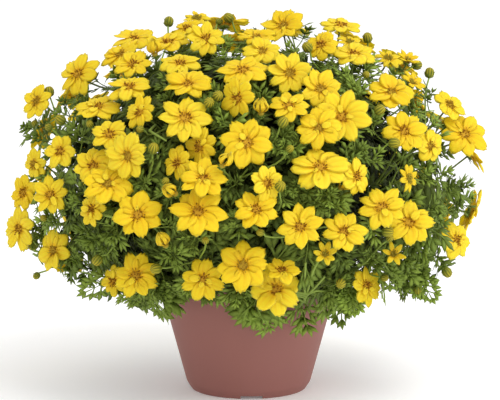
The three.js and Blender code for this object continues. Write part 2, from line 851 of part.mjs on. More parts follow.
// Grows one limb from a stem's knee, bowed where it must pass a neighbour.
function growLimb(stem, taken, end, endAim, radius, leaves) {
  const others = taken.filter((other) => other.stem !== stem);
  const start = stem.knee.clone().addScaledVector(stem.back, STEM.sink + STEM.step * stem.tips.length);
  const chord = end.clone().sub(start).normalize();
  const curved = bowsOf(start, end).map((bow) =>
    limbPoints(start, stem.aim, end, endAim, bow),
  );
  const runs = chord.dot(endAim) > STEM.straight ? [[start, end], ...curved] : curved;
  for (const run of runs) {
    const radii = run.map((_, k) => radius * (LIMB.rootShare - LIMB.thinning * k));
    const solid = tube(run, radii, LIMB.sides, endAim);
    if (isClear(solid, others, STEM.gap)) {
      stem.solids.push(solid);
      const back = run[run.length - 2].clone().sub(end).normalize();
      stem.tips.push({ point: end, aim: endAim, back, leaves });
      taken.push({ ...entry(solid), stem });
      return true;
    }
  }
  return false;
}

// The close leaf mass round a knee, as large as its neighbours leave room for.
function coreSolid(stem, radius) {
  const middle = stem.knee.clone().addScaledVector(stem.aim, radius * CORE.lift);
  const ball = new THREE.IcosahedronGeometry(radius, 0).scale(1, 1, CORE.flatness);
  return solidOf(ball.translate(middle.x, middle.y, Math.max(middle.z, POT.height + radius)));
}

function growCores(stems, taken) {
  for (const stem of stems) {
    const others = taken.filter((other) => other.stem !== stem);
    const cores = CORE.radii.map((radius) => coreSolid(stem, radius));
    const core = cores.find((c) => isClear(c, others, LEAF.gap));
    if (core) {
      stem.solids.push(core);
      taken.push({ ...entry(core), stem });
    }
  }
}

function growBranches(stems, taken) {
  for (const stem of stems) {
    for (const spray of stem.members) {
      const end = spray.foot.clone().addScaledVector(spray.aim, -SPRAY.seat);
      if (!growLimb(stem, taken, end, spray.aim, STEM.branch, LEAF.onBranches)) {
        throw new Error('no free run for a branch');
      }
    }
  }
}

const nearestStem = (stems, place) => {
  const spans = stems.map((stem) =>
    stem.knee.clone().lerp(heart, -SHOOTS.kneeStretch).distanceTo(place),
  );
  return stems[spans.indexOf(Math.min(...spans))];
};

function growShoots(stems, taken) {
  for (let i = 0; i < SHOOTS.count; i += 1) {
    const rise = between(SHOOTS.rise, (i + 0.5) / SHOOTS.count);
    const place = cushionPoint(i * GOLDEN + SHOOTS.firstTurn, rise);
    const end = towards(place, SHOOTS.reach);
    const aim = place.clone().sub(end).normalize();
    growLimb(nearestStem(stems, place), taken, end, aim, STEM.shoot, LEAF.onShoots);
  }
}

// Buds stand on stalks of their own from the nearest limb's tip.
function growBuds(stems, taken) {
  BUDS.forEach(([x, y], index) => {
    const place = placeInSight(x, y, 0);
    const tips = stems.flatMap((stem) => stem.tips.map((tip) => ({ ...tip, stem })));
    const near = tips.sort((a, b) => a.point.distanceTo(place) - b.point.distanceTo(place));
    for (const tip of near.slice(0, BUD.tries)) {
      const start = tip.point.clone().addScaledVector(tip.back, STEM.sink);
      const others = taken.filter((other) => other.stem !== tip.stem);
      const endAim = cushionNormal(place).add(vec(0, 0, BUD.erect)).normalize();
      for (const bow of bowsOf(start, place)) {
        const bud = budSolid(limbPoints(start, tip.aim, place, endAim, bow));
        if (isClear(bud, others, LEAF.gap)) {
          tip.stem.solids.push(bud);
          taken.push({ ...entry(bud), stem: tip.stem, leaf: true });
          return;
        }
      }
    }
    throw new Error(`no free place for bud ${index}`);
  });
}

// The ways that a leaf may lie at a limb's tip, all spread out from it.
function leafWays(tip, index) {
  const { u, v } = frameAbout(tip.aim);
  const first = trait(index, TRAIT.leafTurn) * 2 * Math.PI;
  const depth = between(LEAF.rootDepth, trait(index, TRAIT.leafRoot));
  const ways = [];
  for (let i = 0; i < LEAF.ways; i += 1) {
    const turn = first + i * GOLDEN;
    const spread = radians(between(LEAF.spread, (i % 3) / 2));
    const run = tip.aim.clone().multiplyScalar(Math.cos(spread))
      .addScaledVector(u, Math.sin(spread) * Math.cos(turn))
      .addScaledVector(v, Math.sin(spread) * Math.sin(turn));
    ways.push({
      root: tip.point.clone().addScaledVector(tip.back, depth),
      run,
      face: tip.aim,
      length: between(LEAF.length, trait(index, TRAIT.leafLength)) * (i < LEAF.ways / 2 ? 1 : LEAF.short),
    });
  }
  return ways;
}

function growLeaves(stems, taken) {
  let index = 0;
  for (const stem of stems) {
    for (const tip of stem.tips) {
      for (let k = 0; k < tip.leaves; k += 1) {
        index += 1;
        const others = taken.filter((other) => other.stem !== stem || other.leaf);
        const leaf = leafWays(tip, index).map(leafSolid).find((l) => isClear(l, others, LEAF.gap));
        if (leaf) {
          stem.solids.push(leaf);
          taken.push({ ...entry(leaf), stem, leaf: true });
        }
      }
    }
  }
}

const numbered = (name, index) => `${name}_${String(index + 1).padStart(2, '0')}`;

const seats = seatBlooms();
const sprays = growSprays(seats);
const taken = [potEntry, ...sprays.map((spray) => entry(spray.solid))];
const stems = raiseStems(sprays, taken);
growCores(stems, taken);
growBranches(stems, taken);
growShoots(stems, taken);
growBuds(stems, taken);
growLeaves(stems, taken);

const plant = new THREE.Group();
const foliage = new THREE.MeshStandardMaterial({ color: 0x4f6f22, roughness: 0.8 });
const yellow = new THREE.MeshStandardMaterial({ color: 0xf7cf1e, roughness: 0.6 });
const terracotta = new THREE.MeshStandardMaterial({ color: 0x96645a, roughness: 0.7 });
const earth = new THREE.MeshStandardMaterial({ color: 0x3a2a20, roughness: 1 });
stems.forEach((stem, k) => {
  const fused = joined(stem.solids).asOriginal().simplify(FUSE_TOLERANCE);
  plant.add(meshOf(numbered('leafy_stem', k), mainBody(fused), foliage));
});
sprays.forEach((spray, k) => plant.add(meshOf(numbered('bloom_spray', k), spray.solid, yellow)));
plant.add(meshOf('pot', pot, terracotta));
plant.add(meshOf('soil', soilSolid(stems.map((stem) => stem.seat)), earth));

export default plant;
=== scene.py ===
"""Dresses the solids of a potted beggarticks plant: blooms, stalks, ferny leaves, buds, pot and soil.

Lengths are millimetres while shapes are worked out, and metres in the meshes. +Z is up, and the
viewer is towards -Y.
"""

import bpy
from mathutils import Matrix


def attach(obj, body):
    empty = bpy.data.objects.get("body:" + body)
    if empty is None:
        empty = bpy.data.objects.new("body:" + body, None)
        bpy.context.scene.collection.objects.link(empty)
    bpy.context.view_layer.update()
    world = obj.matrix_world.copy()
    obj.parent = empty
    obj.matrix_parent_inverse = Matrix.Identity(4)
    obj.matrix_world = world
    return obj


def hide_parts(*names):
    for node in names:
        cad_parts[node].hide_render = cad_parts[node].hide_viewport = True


bl_info = {
    "name": "Potted Arizona Beggarticks",
    "version": (1, 0, 0),
    "blender": (4, 5, 0),
    "location": "View3D > Sidebar > Beggarticks",
    "description": "Dresses the solids of a potted beggarticks plant",
    "category": "Object",
}

from functools import cache
from math import acos, atan2, ceil, cos, pi, radians, sin, sqrt, tan
from types import SimpleNamespace

import bpy
import numpy as np
from mathutils import Vector, bvhtree

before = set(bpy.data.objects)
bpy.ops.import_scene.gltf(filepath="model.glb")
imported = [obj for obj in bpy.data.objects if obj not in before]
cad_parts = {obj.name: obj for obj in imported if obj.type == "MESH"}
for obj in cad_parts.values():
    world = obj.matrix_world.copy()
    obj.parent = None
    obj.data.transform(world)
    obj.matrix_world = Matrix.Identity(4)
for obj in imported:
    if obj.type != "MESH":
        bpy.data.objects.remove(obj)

BODY = "root"
MM = 0.001
GOLDEN = pi * (3 - sqrt(5))
UP = np.array([0.0, 0.0, 1.0])
FRONT = np.array([0.0, -1.0, 0.0])
RIGHT = np.array([1.0, 0.0, 0.0])

# The solids' own rule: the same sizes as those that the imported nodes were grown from.
POT = SimpleNamespace(
    height=88, rim_radius=69.5, rim_band=15, rim_step=1.6, lip_round=1.4, foot_radius=47.2, foot_height=3,
    foot_ring=(38, 42), corner_height=5.5, wall=2.2, notches=4, notch_width=16, notch_height=2.4,
    notch_turn=3, drains=6, drain_radius=4, drain_circle=24,
)
SOIL = SimpleNamespace(edge=76, crown=80, crown_share=0.6, stem_depth=24, clearance=0.35)
CUSHION = SimpleNamespace(level=150, radius=163, up=117, down=93)
VIEW = SimpleNamespace(distance=1800, height=412, aim=(1, 0, 139), width=500, depth=400, focus=2494)

# Open blooms on the side that faces the viewer: place in the picture (x, y), width across the
# petals in its pixels, how far the bloom tilts away from the viewer and which way (90 is up, 180 is
# left), in degrees, and its number of petals where that isn't five.
FRONT_BLOOMS = [
    (342, 117, 57, 12, 60, 6), (320, 169, 60, 44, 90, 6), (198, 213, 59, 32, 95, 6),
    (185, 119, 56, 32, 90, 6), (247, 143, 55, 12, 90, 6), (464, 135, 51, 34, 60),
    (276, 290, 54, 14, 80, 6), (243, 266, 53, 14, 100), (243, 72, 53, 55, 90, 6),
    (108, 185, 53, 34, 95, 8), (188, 86, 52, 55, 92, 6), (391, 94, 51, 48, 80, 6),
    (382, 208, 50, 28, 90), (409, 223, 50, 22, 60), (138, 215, 50, 15, 120), (129, 156, 49, 33, 175),
    (203, 180, 49, 38, 90, 8), (256, 211, 48, 32, 90), (300, 227, 48, 12, 90), (136, 276, 48, 14, 120),
    (319, 129, 48, 26, 100, 8), (98, 109, 48, 60, 100), (79, 75, 48, 45, 135), (284, 27, 47, 46, 110),
    (344, 233, 46, 30, 80), (404, 132, 46, 24, 70), (320, 90, 46, 28, 60), (290, 74, 46, 22, 90),
    (129, 89, 46, 56, 95), (134, 41, 46, 62, 95), (180, 65, 45, 58, 95), (21, 229, 46, 46, 178),
    (169, 44, 44, 62, 100), (354, 56, 44, 56, 85), (203, 280, 44, 14, 100, 8), (340, 27, 43, 66, 85),
    (289, 107, 43, 44, 95, 8), (94, 167, 43, 28, 120), (55, 251, 43, 42, 170), (121, 56, 42, 58, 120),
    (262, 53, 42, 48, 90), (256, 39, 42, 64, 90), (239, 98, 42, 38, 180), (201, 147, 42, 40, 170),
    (455, 241, 42, 42, 10), (365, 286, 42, 45, 10), (133, 66, 40, 46, 100), (206, 40, 40, 28, 90),
    (110, 136, 40, 38, 110), (51, 195, 40, 18, 170), (449, 106, 38, 50, 50), (38, 102, 38, 45, 150),
    (61, 152, 38, 32, 140), (266, 183, 38, 32, 0), (355, 177, 38, 48, 0), (25, 193, 37, 42, 175),
    (141, 113, 37, 40, 150), (322, 46, 36, 42, 120), (179, 163, 36, 40, 170), (429, 146, 36, 42, 0),
    (282, 272, 36, 40, 80), (93, 210, 34, 40, 170), (115, 281, 34, 40, 180), (36, 164, 32, 45, 180),
    (188, 30, 32, 52, 110), (197, 20, 30, 60, 90), (350, 44, 30, 60, 80), (388, 60, 30, 55, 75),
    (407, 178, 30, 52, 0), (411, 84, 28, 55, 50), (407, 62, 26, 62, 70, 4), (393, 255, 26, 20, 60, 4),
    (325, 255, 26, 20, 90, 4), (166, 246, 24, 40, 120, 4), (261, 114, 24, 45, 90, 4),
    (176, 194, 24, 40, 150, 4), (222, 166, 24, 40, 60, 4), (155, 55, 24, 50, 100, 4),
    (340, 188, 24, 45, 40, 4),
]
BACK_BLOOMS = SimpleNamespace(
    places=150, rise=(0.97, -0.65), spacing=38, hidden_below=-0.22, across=(35, 41), petals=5,
    sway=0.5, sway_middle=(0.5, 0.5, 0.2), outset=5,
)
BLOOM = SimpleNamespace(
    disc=0.26, disc_height=2.6, calyx_depth=1.8, cup=(0.02, 0.18), half_open_below=10,
    half_open_cup=0.75, whorl_step=0.09, sway=0.12, reach=(0.95, 1.05), double_above=6,
)
DEPTH_STEPS = (0, 6, 12, -6, 18, -12, 24, -18, 30, 36)
SPRAY = SimpleNamespace(
    count=40, lowest=-0.72, fork_share=0.7, stalk=1, straight=0.85, collar=1.7, step=0.3,
    middle_member=3, foot=8, seat=0.4,
)
LIMB = SimpleNamespace(sides=3, pull=0.36, root_share=1.1, thinning=0.12, bows=(9, 16, 24), bow_ways=6)
STEM = SimpleNamespace(
    count=15, lowest=-0.5, knee_shares=(0.55, 0.48, 0.62, 0.4, 0.7), stem=2.3, sides=4, thinning=0.12,
    mouth=1, branch=1.5, shoot=1.1, sink=1.5, step=1.8, straight=0.9, hole_circle=30,
)
HEART = np.array([0.0, 0.0, 96.0])
RIM_CLEARANCE = 17
CORE = SimpleNamespace(radii=(25, 22, 19, 16, 13, 10), lift=0.2, flatness=0.9)
SHOOTS = SimpleNamespace(count=34, reach=0.82, rise=(0.95, -0.75), first_turn=1, knee_stretch=0.5)
HIGHEST = 0.93
LEAF = SimpleNamespace(
    tip_run=(0.44, 0.66, 0.84), tip_spread=(0.42, 0.36, 0.24), rib=(0.22, 0.42, 0.6, 0.76),
    length=(44, 58), short=0.8, droop=0.26, fold=0.35, ways=18, spread=(45, 85),
    root_depth=(1.5, 4.5), on_branches=1, on_shoots=2,
)
BUD = SimpleNamespace(length=9, radius=3.6, widest=0.4, tip_radius=0.48, stalk=0.8, tries=3, erect=0.8)

# Buds that stand out in the picture: place (x, y). The first ones are in the solids too.
BUDS = [
    (232, 21), (168, 26), (50, 97), (65, 123), (216, 98), (208, 104), (152, 153), (280, 127),
    (279, 189), (310, 51), (368, 42), (413, 66), (429, 78), (375, 113), (389, 143), (382, 231),
    (342, 282), (444, 268), (417, 286), (37, 244), (101, 256), (161, 268),
]
SMALL_BUDS = [
    (217, 24), (91, 126), (37, 127), (52, 129), (143, 129), (164, 183), (287, 151), (365, 76),
    (360, 176), (325, 238), (263, 233), (388, 240), (381, 277), (39, 273), (46, 219), (205, 242),
]
TRAIT = SimpleNamespace(
    sway=1, size=4, turn=6, cup=7, petal_turn=20, petal_rise=40, petal_reach=60, leaf_turn=80,
    leaf_length=81, leaf_root=82, stalk_tone=90, stem_tone=91, limb_tone=92, sprig_depth=95,
)

# First numbers of the random draws of each kind of piece.
SEED = SimpleNamespace(
    petals=300, discs=600, calyxes=900, leaf_patterns=900, sprig_patterns=1800, stalk_leaves=5000,
    stem_leaves=10000, heart_leaves=15000, limb_leaves=20000, buds=25000, sprigs=30000, per_stem=100,
    soil=77,
)


# Sums that the whole script uses.


def trait(item, kind):
    """A repeatable number from 0 to 1 for one item and one trait of it."""
    mask = 0xFFFFFFFF
    h = ((item + 1) * 0x9E3779B1 & mask) ^ ((kind + 1) * 0x85EBCA6B & mask)
    h = (h ^ (h >> 15)) * 0x2C1B3C6D & mask
    h = (h ^ (h >> 12)) * 0x297A2D39 & mask
    return (h ^ (h >> 15)) / 4294967296


def between(pair, share):
    return pair[0] + (pair[1] - pair[0]) * share


def vec(*parts):
    return np.array(parts, float)


def unit(v):
    return v / np.linalg.norm(v)


def span(a, b):
    return float(np.linalg.norm(a - b))


def swing(turn, u, v):
    """The direction at an angle from an axis u towards v, which is square to it."""
    return cos(turn) * u + sin(turn) * v


def frame_about(direction):
    """Three square axes, as rows, of which the third is the given direction."""
    w = unit(direction)
    u = unit(np.cross(UP if abs(w[2]) < 0.95 else FRONT, w))
    return np.array([u, np.cross(w, u), w])


def cross_axis(direction):
    """An axis that lies well across a direction."""
    return np.eye(3)[int(np.argmin(np.abs(direction)))]


def rings_along(run, radii, sides, first_side, last_aim=None):
    """Rings of corners round a run of points, carried along it without twist."""
    rings = []
    last = len(run) - 1
    side = first_side
    for k, point in enumerate(run):
        aim = unit(run[min(k + 1, last)] - run[max(k - 1, 0)])
        if k == last and last_aim is not None:
            aim = last_aim
        side = unit(side - aim * (side @ aim))
        top = np.cross(side, aim)
        rings += [point + radii[k] * swing(2 * pi * i / sides, side, top) for i in range(sides)]
    return np.array(rings)


def curve_of(start, start_aim, end, end_aim, bow):
    """The four controls of a smooth limb with a given aim at each end."""
    reach = span(start, end) * LIMB.pull
    return np.array([start, start + start_aim * reach + bow, end - end_aim * reach + bow, end])


def on_curve(controls, shares):
    """Points of a limb, straight with two controls and a cubic with four."""
    t = np.asarray(shares, float)[:, None]
    if len(controls) == 2:
        return controls[0] * (1 - t) + controls[1] * t
    a, b, c, d = controls
    return a * (1 - t) ** 3 + b * 3 * t * (1 - t) ** 2 + c * 3 * t**2 * (1 - t) + d * t**3


def corners_of(controls):
    """The two or three points through which the solid of a limb runs."""
    return on_curve(controls, (0, 1) if len(controls) == 2 else (0, 0.5, 1))


def bows_of(start, end):
    """The bows that a limb may take to pass its neighbours, the straight run first."""
    u, v, _ = frame_about(end - start)
    bows = [vec(0, 0, 0)]
    for size in LIMB.bows:
        bows += [size * swing(2 * pi * i / LIMB.bow_ways, u, v) for i in range(LIMB.bow_ways)]
    return bows


# Lines of sight and the cushion.

EYE = vec(VIEW.aim[0], -VIEW.distance, VIEW.height)
SIGHT = unit(vec(*VIEW.aim) - EYE)
SIGHT_UP = np.cross(RIGHT, SIGHT)


def first_meeting(start, run, radius):
    """How far along a run it first meets a ball or a round wall about the origin."""
    a, b, c = run @ run, start @ run, start @ start - radius**2
    return (-b - sqrt(max(b * b - a * c, 0))) / a


def z_scale(low):
    return CUSHION.radius / (CUSHION.down if low else CUSHION.up)


def sight_line(x, y):
    return unit(SIGHT * VIEW.focus + RIGHT * (x - VIEW.width / 2) + SIGHT_UP * (VIEW.depth / 2 - y))


def meet_cushion(ray, low):
    squash = vec(1, 1, z_scale(low))
    return first_meeting((EYE - vec(0, 0, CUSHION.level)) * squash, ray * squash, CUSHION.radius)


def place_in_sight(x, y):
    """The place on the cushion that shows at a point of the picture."""
    ray = sight_line(x, y)
    depth = meet_cushion(ray, False)
    if EYE[2] + ray[2] * depth < CUSHION.level:
        depth = meet_cushion(ray, True)
    return EYE + ray * depth


def cushion_point(turn, rise):
    flat = CUSHION.radius * sqrt(1 - rise * rise)
    height = CUSHION.down if rise < 0 else CUSHION.up
    return vec(flat * cos(turn), flat * sin(turn), CUSHION.level + height * rise)


def cushion_normal(point):
    k = z_scale(point[2] < CUSHION.level)
    return unit(vec(point[0], point[1], (point[2] - CUSHION.level) * k * k))


def cushion_depth(points):
    """How far out points lie: 0 in the middle of the cushion and 1 on its surface."""
    points = np.atleast_2d(points)
    rise = points[:, 2] - CUSHION.level
    height = np.where(rise < 0, CUSHION.down, CUSHION.up)
    return np.sqrt((points[:, 0] ** 2 + points[:, 1] ** 2) / CUSHION.radius**2 + (rise / height) ** 2)


def towards(target, share):
    """A point part of the way from the heart of the plant, kept above the pot's rim."""
    point = HEART + (target - HEART) * share
    point[2] = max(point[2], POT.height + RIM_CLEARANCE)
    return point


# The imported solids, in which each bloom, limb and leaf is found again.


@cache
def cloud(name):
    """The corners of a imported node."""
    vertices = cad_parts[name].data.vertices
    points = np.empty(len(vertices) * 3)
    vertices.foreach_get("co", points)
    return points.reshape(-1, 3) / MM


def miss(points, name):
    """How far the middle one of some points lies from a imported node's corners."""
    gaps = np.linalg.norm(cloud(name)[None] - np.asarray(points)[:, None], axis=2)
    return float(np.median(gaps.min(axis=1)))


def best_fit(options, corners, name):
    """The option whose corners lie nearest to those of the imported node, and how near."""
    gaps = [miss(corners(option), name) for option in options]
    k = int(np.argmin(gaps))
    return options[k], gaps[k]


# The most that an option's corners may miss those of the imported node, in millimetres.
FOUND = 0.8


def share_out(items, place_of, count, lowest):
    """Items shared out to the nearest of a number of even places over the cushion."""
    rises = [between((HIGHEST, lowest), (i + 0.5) / count) for i in range(count)]
    places = [cushion_point(i * GOLDEN, rise) for i, rise in enumerate(rises)]
    groups = [[] for _ in places]
    for item in items:
        spans = [span(place, place_of(item)) for place in places]
        groups[int(np.argmin(spans))].append(item)
    return [(index, members) for index, members in enumerate(groups) if members]


def bloom_at(nominal, retreat, facing, radius, petals):
    """A bloom by its place, the way it may lie deeper, its facing and its size."""
    return SimpleNamespace(
        nominal=nominal, retreat=retreat, facing=unit(facing), radius=radius, petals=petals
    )


def front_bloom(x, y, across, tilt, lean, petals=5):
    nominal = place_in_sight(x, y)
    to_eye = EYE - nominal
    tilt, lean = radians(tilt), radians(lean)
    facing = (
        unit(to_eye) * cos(tilt)
        + RIGHT * sin(tilt) * cos(lean)
        + SIGHT_UP * sin(tilt) * sin(lean)
    )
    radius = across * np.linalg.norm(to_eye) / VIEW.focus / 2
    return bloom_at(nominal, sight_line(x, y), facing, radius, petals)


def back_blooms(front):
    kept = []
    for i in range(BACK_BLOOMS.places):
        place = cushion_point(i * GOLDEN, between(BACK_BLOOMS.rise, (i + 0.5) / BACK_BLOOMS.places))
        normal = cushion_normal(place)
        nominal = place + normal * BACK_BLOOMS.outset
        seen = normal @ unit(EYE - nominal)
        near = any(span(b.nominal, nominal) < BACK_BLOOMS.spacing for b in front + kept)
        if seen < BACK_BLOOMS.hidden_below and not near:
            middle = BACK_BLOOMS.sway_middle
            sway = vec(*[trait(i, TRAIT.sway + k) - middle[k] for k in range(3)])
            radius = between(BACK_BLOOMS.across, trait(i, TRAIT.size)) / 2
            facing = normal + sway * BACK_BLOOMS.sway
            kept.append(bloom_at(nominal, -normal, facing, radius, BACK_BLOOMS.petals))
    return kept


def petal_plan(bloom, index):
    """The first edge of a bloom's petals, and the turn, rise and reach of each."""
    pitch = 2 * pi / bloom.petals
    start = trait(index, TRAIT.turn) * pitch
    cup = between(BLOOM.cup, trait(index, TRAIT.cup))
    if bloom.radius < BLOOM.half_open_below:
        cup = BLOOM.half_open_cup

    def sway(kind):
        return BLOOM.sway * (trait(index, kind) - 0.5)

    petals = []
    for i in range(bloom.petals):
        whorl = BLOOM.whorl_step * (1 if i % 2 else -1) if bloom.petals > BLOOM.double_above else 0
        turn = start + (i + sway(TRAIT.petal_turn + i)) * pitch
        rise = cup + whorl + sway(TRAIT.petal_rise + i)
        reach = bloom.radius * between(BLOOM.reach, trait(index, TRAIT.petal_reach + i))
        petals.append(SimpleNamespace(turn=turn, rise=rise, reach=reach))
    return start - pitch / 2, petals


def placed(centre, axes, coordinates):
    return centre + np.asarray(coordinates) @ axes


def seat_bloom(bloom, node):
    """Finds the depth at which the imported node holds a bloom."""

    def tips_at(step):
        centre = bloom.nominal + bloom.retreat * step
        tips = [
            (p.reach * cos(p.turn), p.reach * sin(p.turn), p.rise * bloom.radius)
            for p in bloom.plan
        ]
        return placed(centre, bloom.axes, tips)

    step, _ = best_fit(DEPTH_STEPS, tips_at, node)
    bloom.centre = bloom.nominal + bloom.retreat * step


def stalk_curve(bloom, place, spray, bow):
    end = spray.fork + spray.aim * (place - SPRAY.middle_member) * SPRAY.step
    start = bloom.centre - bloom.facing * BLOOM.calyx_depth
    straight = not bow.any() and unit(end - start) @ -bloom.facing > SPRAY.straight
    if straight:
        return np.array([start, end])
    return curve_of(start, -bloom.facing, end, -spray.aim, bow)


def middle_ring(controls, radii, sides, first_side, last_aim=None):
    rings = rings_along(corners_of(controls), radii, sides, first_side, last_aim)
    return rings[sides : 2 * sides]


def find_sprays():
    """Every spray with its fork, its blooms and the course of their stalks."""
    front = [front_bloom(*row) for row in FRONT_BLOOMS]
    blooms = front + back_blooms(front)
    for index, bloom in enumerate(blooms):
        bloom.index = index
        bloom.axes = frame_about(bloom.facing)
        bloom.first_turn, bloom.plan = petal_plan(bloom, index)
    sprays = []
    groups = share_out(blooms, lambda bloom: bloom.nominal, SPRAY.count, SPRAY.lowest)
    for k, (_, members) in enumerate(groups):
        node = f"bloom_spray_{k + 1:02d}"
        middle = np.mean([bloom.nominal for bloom in members], axis=0)
        fork = towards(middle, SPRAY.fork_share)
        aim = unit(middle - fork)
        foot = fork - aim * SPRAY.foot
        spray = SimpleNamespace(node=node, fork=fork, aim=aim, foot=foot, members=members)
        for place, bloom in enumerate(members):
            seat_bloom(bloom, node)
            side = swing(bloom.first_turn, *bloom.axes[:2])
            curves = [stalk_curve(bloom, place, spray, bow) for bow in bows_of(bloom.centre, fork)]
            bent = [c for c in curves if len(c) == 4]
            radii = (SPRAY.collar, SPRAY.stalk, SPRAY.stalk)
            bloom.stalk, gap = best_fit(bent, lambda c: middle_ring(c, radii, LIMB.sides, side), node)
            if gap > FOUND:
                bloom.stalk = curves[0]
        sprays.append(spray)
    return sprays


def find_stem(stem):
    """Finds the course of a leafy stem from its hole in the soil to its knee."""
    middle = np.mean([spray.fork for spray in stem.members], axis=0)
    reach = STEM.hole_circle * sqrt((stem.index + 0.5) / STEM.count)
    turn = stem.index * GOLDEN
    depth = SOIL.crown - SOIL.stem_depth + SOIL.clearance
    stem.seat = vec(reach * cos(turn), reach * sin(turn), depth)
    mouth = vec(stem.seat[0], stem.seat[1], SOIL.crown + STEM.mouth)
    options = []
    for share in STEM.knee_shares:
        knee = towards(middle, share)
        aim = unit(middle - knee)
        options += [curve_of(mouth, UP, knee, aim, bow) for bow in bows_of(mouth, knee)]

    def middle_corners(controls):
        run = [stem.seat, *corners_of(controls)]
        radii = [STEM.stem - STEM.thinning * k for k in range(len(run))]
        rings = rings_along(run, radii, STEM.sides, cross_axis(run[-1] - run[0]))
        return rings[2 * STEM.sides : 3 * STEM.sides]

    stem.curve, _ = best_fit(options, middle_corners, stem.node)
    stem.knee = stem.curve[3]
    stem.aim = unit(middle - stem.knee)
    stem.back = unit(corners_of(stem.curve)[1] - stem.knee)
    stem.tips, stem.limbs, stem.buds, stem.leaves = [], [], [], []


def core_corners(stem, radius):
    middle = stem.knee + stem.aim * radius * CORE.lift
    middle[2] = max(middle[2], POT.height + radius)
    golden = (1 + sqrt(5)) / 2
    points = [
        np.roll(vec(0, a, b * golden), shift) for a in (-1, 1) for b in (-1, 1) for shift in range(3)
    ]
    scale = radius / np.linalg.norm(points[0])
    return middle + np.array(points) * scale * vec(1, 1, CORE.flatness)


def find_core(stem):
    radius, gap = best_fit(CORE.radii, lambda r: core_corners(stem, r), stem.node)
    stem.core = radius if gap < FOUND else 0


def find_limb(stem, end, end_aim, radius, leaves):
    """Finds one limb from a stem's knee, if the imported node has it."""
    start = stem.knee + stem.back * (STEM.sink + STEM.step * len(stem.tips))
    radii = [radius * (LIMB.root_share - LIMB.thinning * k) for k in range(3)]
    side = cross_axis(end - start)

    def ring(controls, first):
        corners = corners_of(controls)
        rings = rings_along(corners, radii, LIMB.sides, side, end_aim)
        return rings[len(rings) - LIMB.sides :] if first is None else rings[first : first + LIMB.sides]

    bent = [curve_of(start, stem.aim, end, end_aim, bow) for bow in bows_of(start, end)]
    curve, gap = best_fit(bent, lambda c: ring(c, LIMB.sides), stem.node)
    if gap > FOUND:
        straight = [np.array([start, end])] if unit(end - start) @ end_aim > STEM.straight else []
        curve, gap = best_fit(straight + bent, lambda c: ring(c, None), stem.node)
    if gap > FOUND:
        return
    back = unit(corners_of(curve)[-2] - end)
    stem.tips.append(SimpleNamespace(point=end, aim=end_aim, back=back, leaves=leaves, stem=stem))
    stem.limbs.append((curve, radius))


def bud_corners(controls):
    run = list(corners_of(controls))
    aim = unit(run[-1] - run[-2])
    run += [run[-1] + aim * BUD.length * BUD.widest, run[-1] + aim * BUD.length]
    radii = [BUD.stalk] * 3 + [BUD.radius, BUD.tip_radius]
    rings = rings_along(run, radii, LIMB.sides, cross_axis(run[-1] - run[0]))
    return np.concatenate([rings[3:6], rings[9:12]])


def bud_curves(place, tips, tries):
    """The courses that a bud's stalk may take from the tips nearest to its place."""
    end_aim = unit(cushion_normal(place) + vec(0, 0, BUD.erect))
    options = []
    for tip in sorted(tips, key=lambda tip: span(tip.point, place))[:tries]:
        start = tip.point + tip.back * STEM.sink
        options += [(tip, curve_of(start, tip.aim, place, end_aim, bow)) for bow in bows_of(start, place)]
    return options


def find_bud(stems, x, y):
    tips = [tip for stem in stems for tip in stem.tips]
    options = bud_curves(place_in_sight(x, y), tips, BUD.tries)
    gaps = [miss(bud_corners(curve), tip.stem.node) for tip, curve in options]
    tip, curve = options[int(np.argmin(gaps))]
    tip.stem.buds.append((curve, 1.0))


def leaf_at(root, run, face, length, kind):
    """A leaf by its root, its run, the way it faces, its length and its kind's bend."""
    return SimpleNamespace(root=root, run=run, face=face, length=length, droop=kind.droop, fold=kind.fold)


def leaf_ways(tip, index):
    """The ways that a leaf may lie at a limb's tip: root, run, face and length."""
    u, v, _ = frame_about(tip.aim)
    first = trait(index, TRAIT.leaf_turn) * 2 * pi
    root = tip.point + tip.back * between(LEAF.root_depth, trait(index, TRAIT.leaf_root))
    length = between(LEAF.length, trait(index, TRAIT.leaf_length))
    ways = []
    for i in range(LEAF.ways):
        turn = first + i * GOLDEN
        spread = radians(between(LEAF.spread, (i % 3) / 2))
        run = swing(spread, tip.aim, swing(turn, u, v))
        share = 1 if i < LEAF.ways / 2 else LEAF.short
        ways.append(leaf_at(root, run, tip.aim, length * share, LEAF))
    return ways


def leaf_axes(leaf):
    w = unit(leaf.face - leaf.run * (leaf.face @ leaf.run))
    return np.array([leaf.run, np.cross(w, leaf.run), w])


def bent_leaf(leaf, flat):
    """Points of a leaf from shares of its length along and across, and millimetres up."""
    flat = np.asarray(flat, float)
    x, y, lift = flat[:, 0], flat[:, 1], flat[:, 2]
    sag = -(leaf.droop * x * x + leaf.fold * np.abs(y)) * leaf.length
    local = np.stack([x * leaf.length, y * leaf.length, sag + lift], axis=1)
    return placed(leaf.root, leaf_axes(leaf), local)


LEAF_TIPS = [(1, 0, 0)] + [
    (x, side * y, 0) for x, y in zip(LEAF.tip_run, LEAF.tip_spread) for side in (1, -1)
]


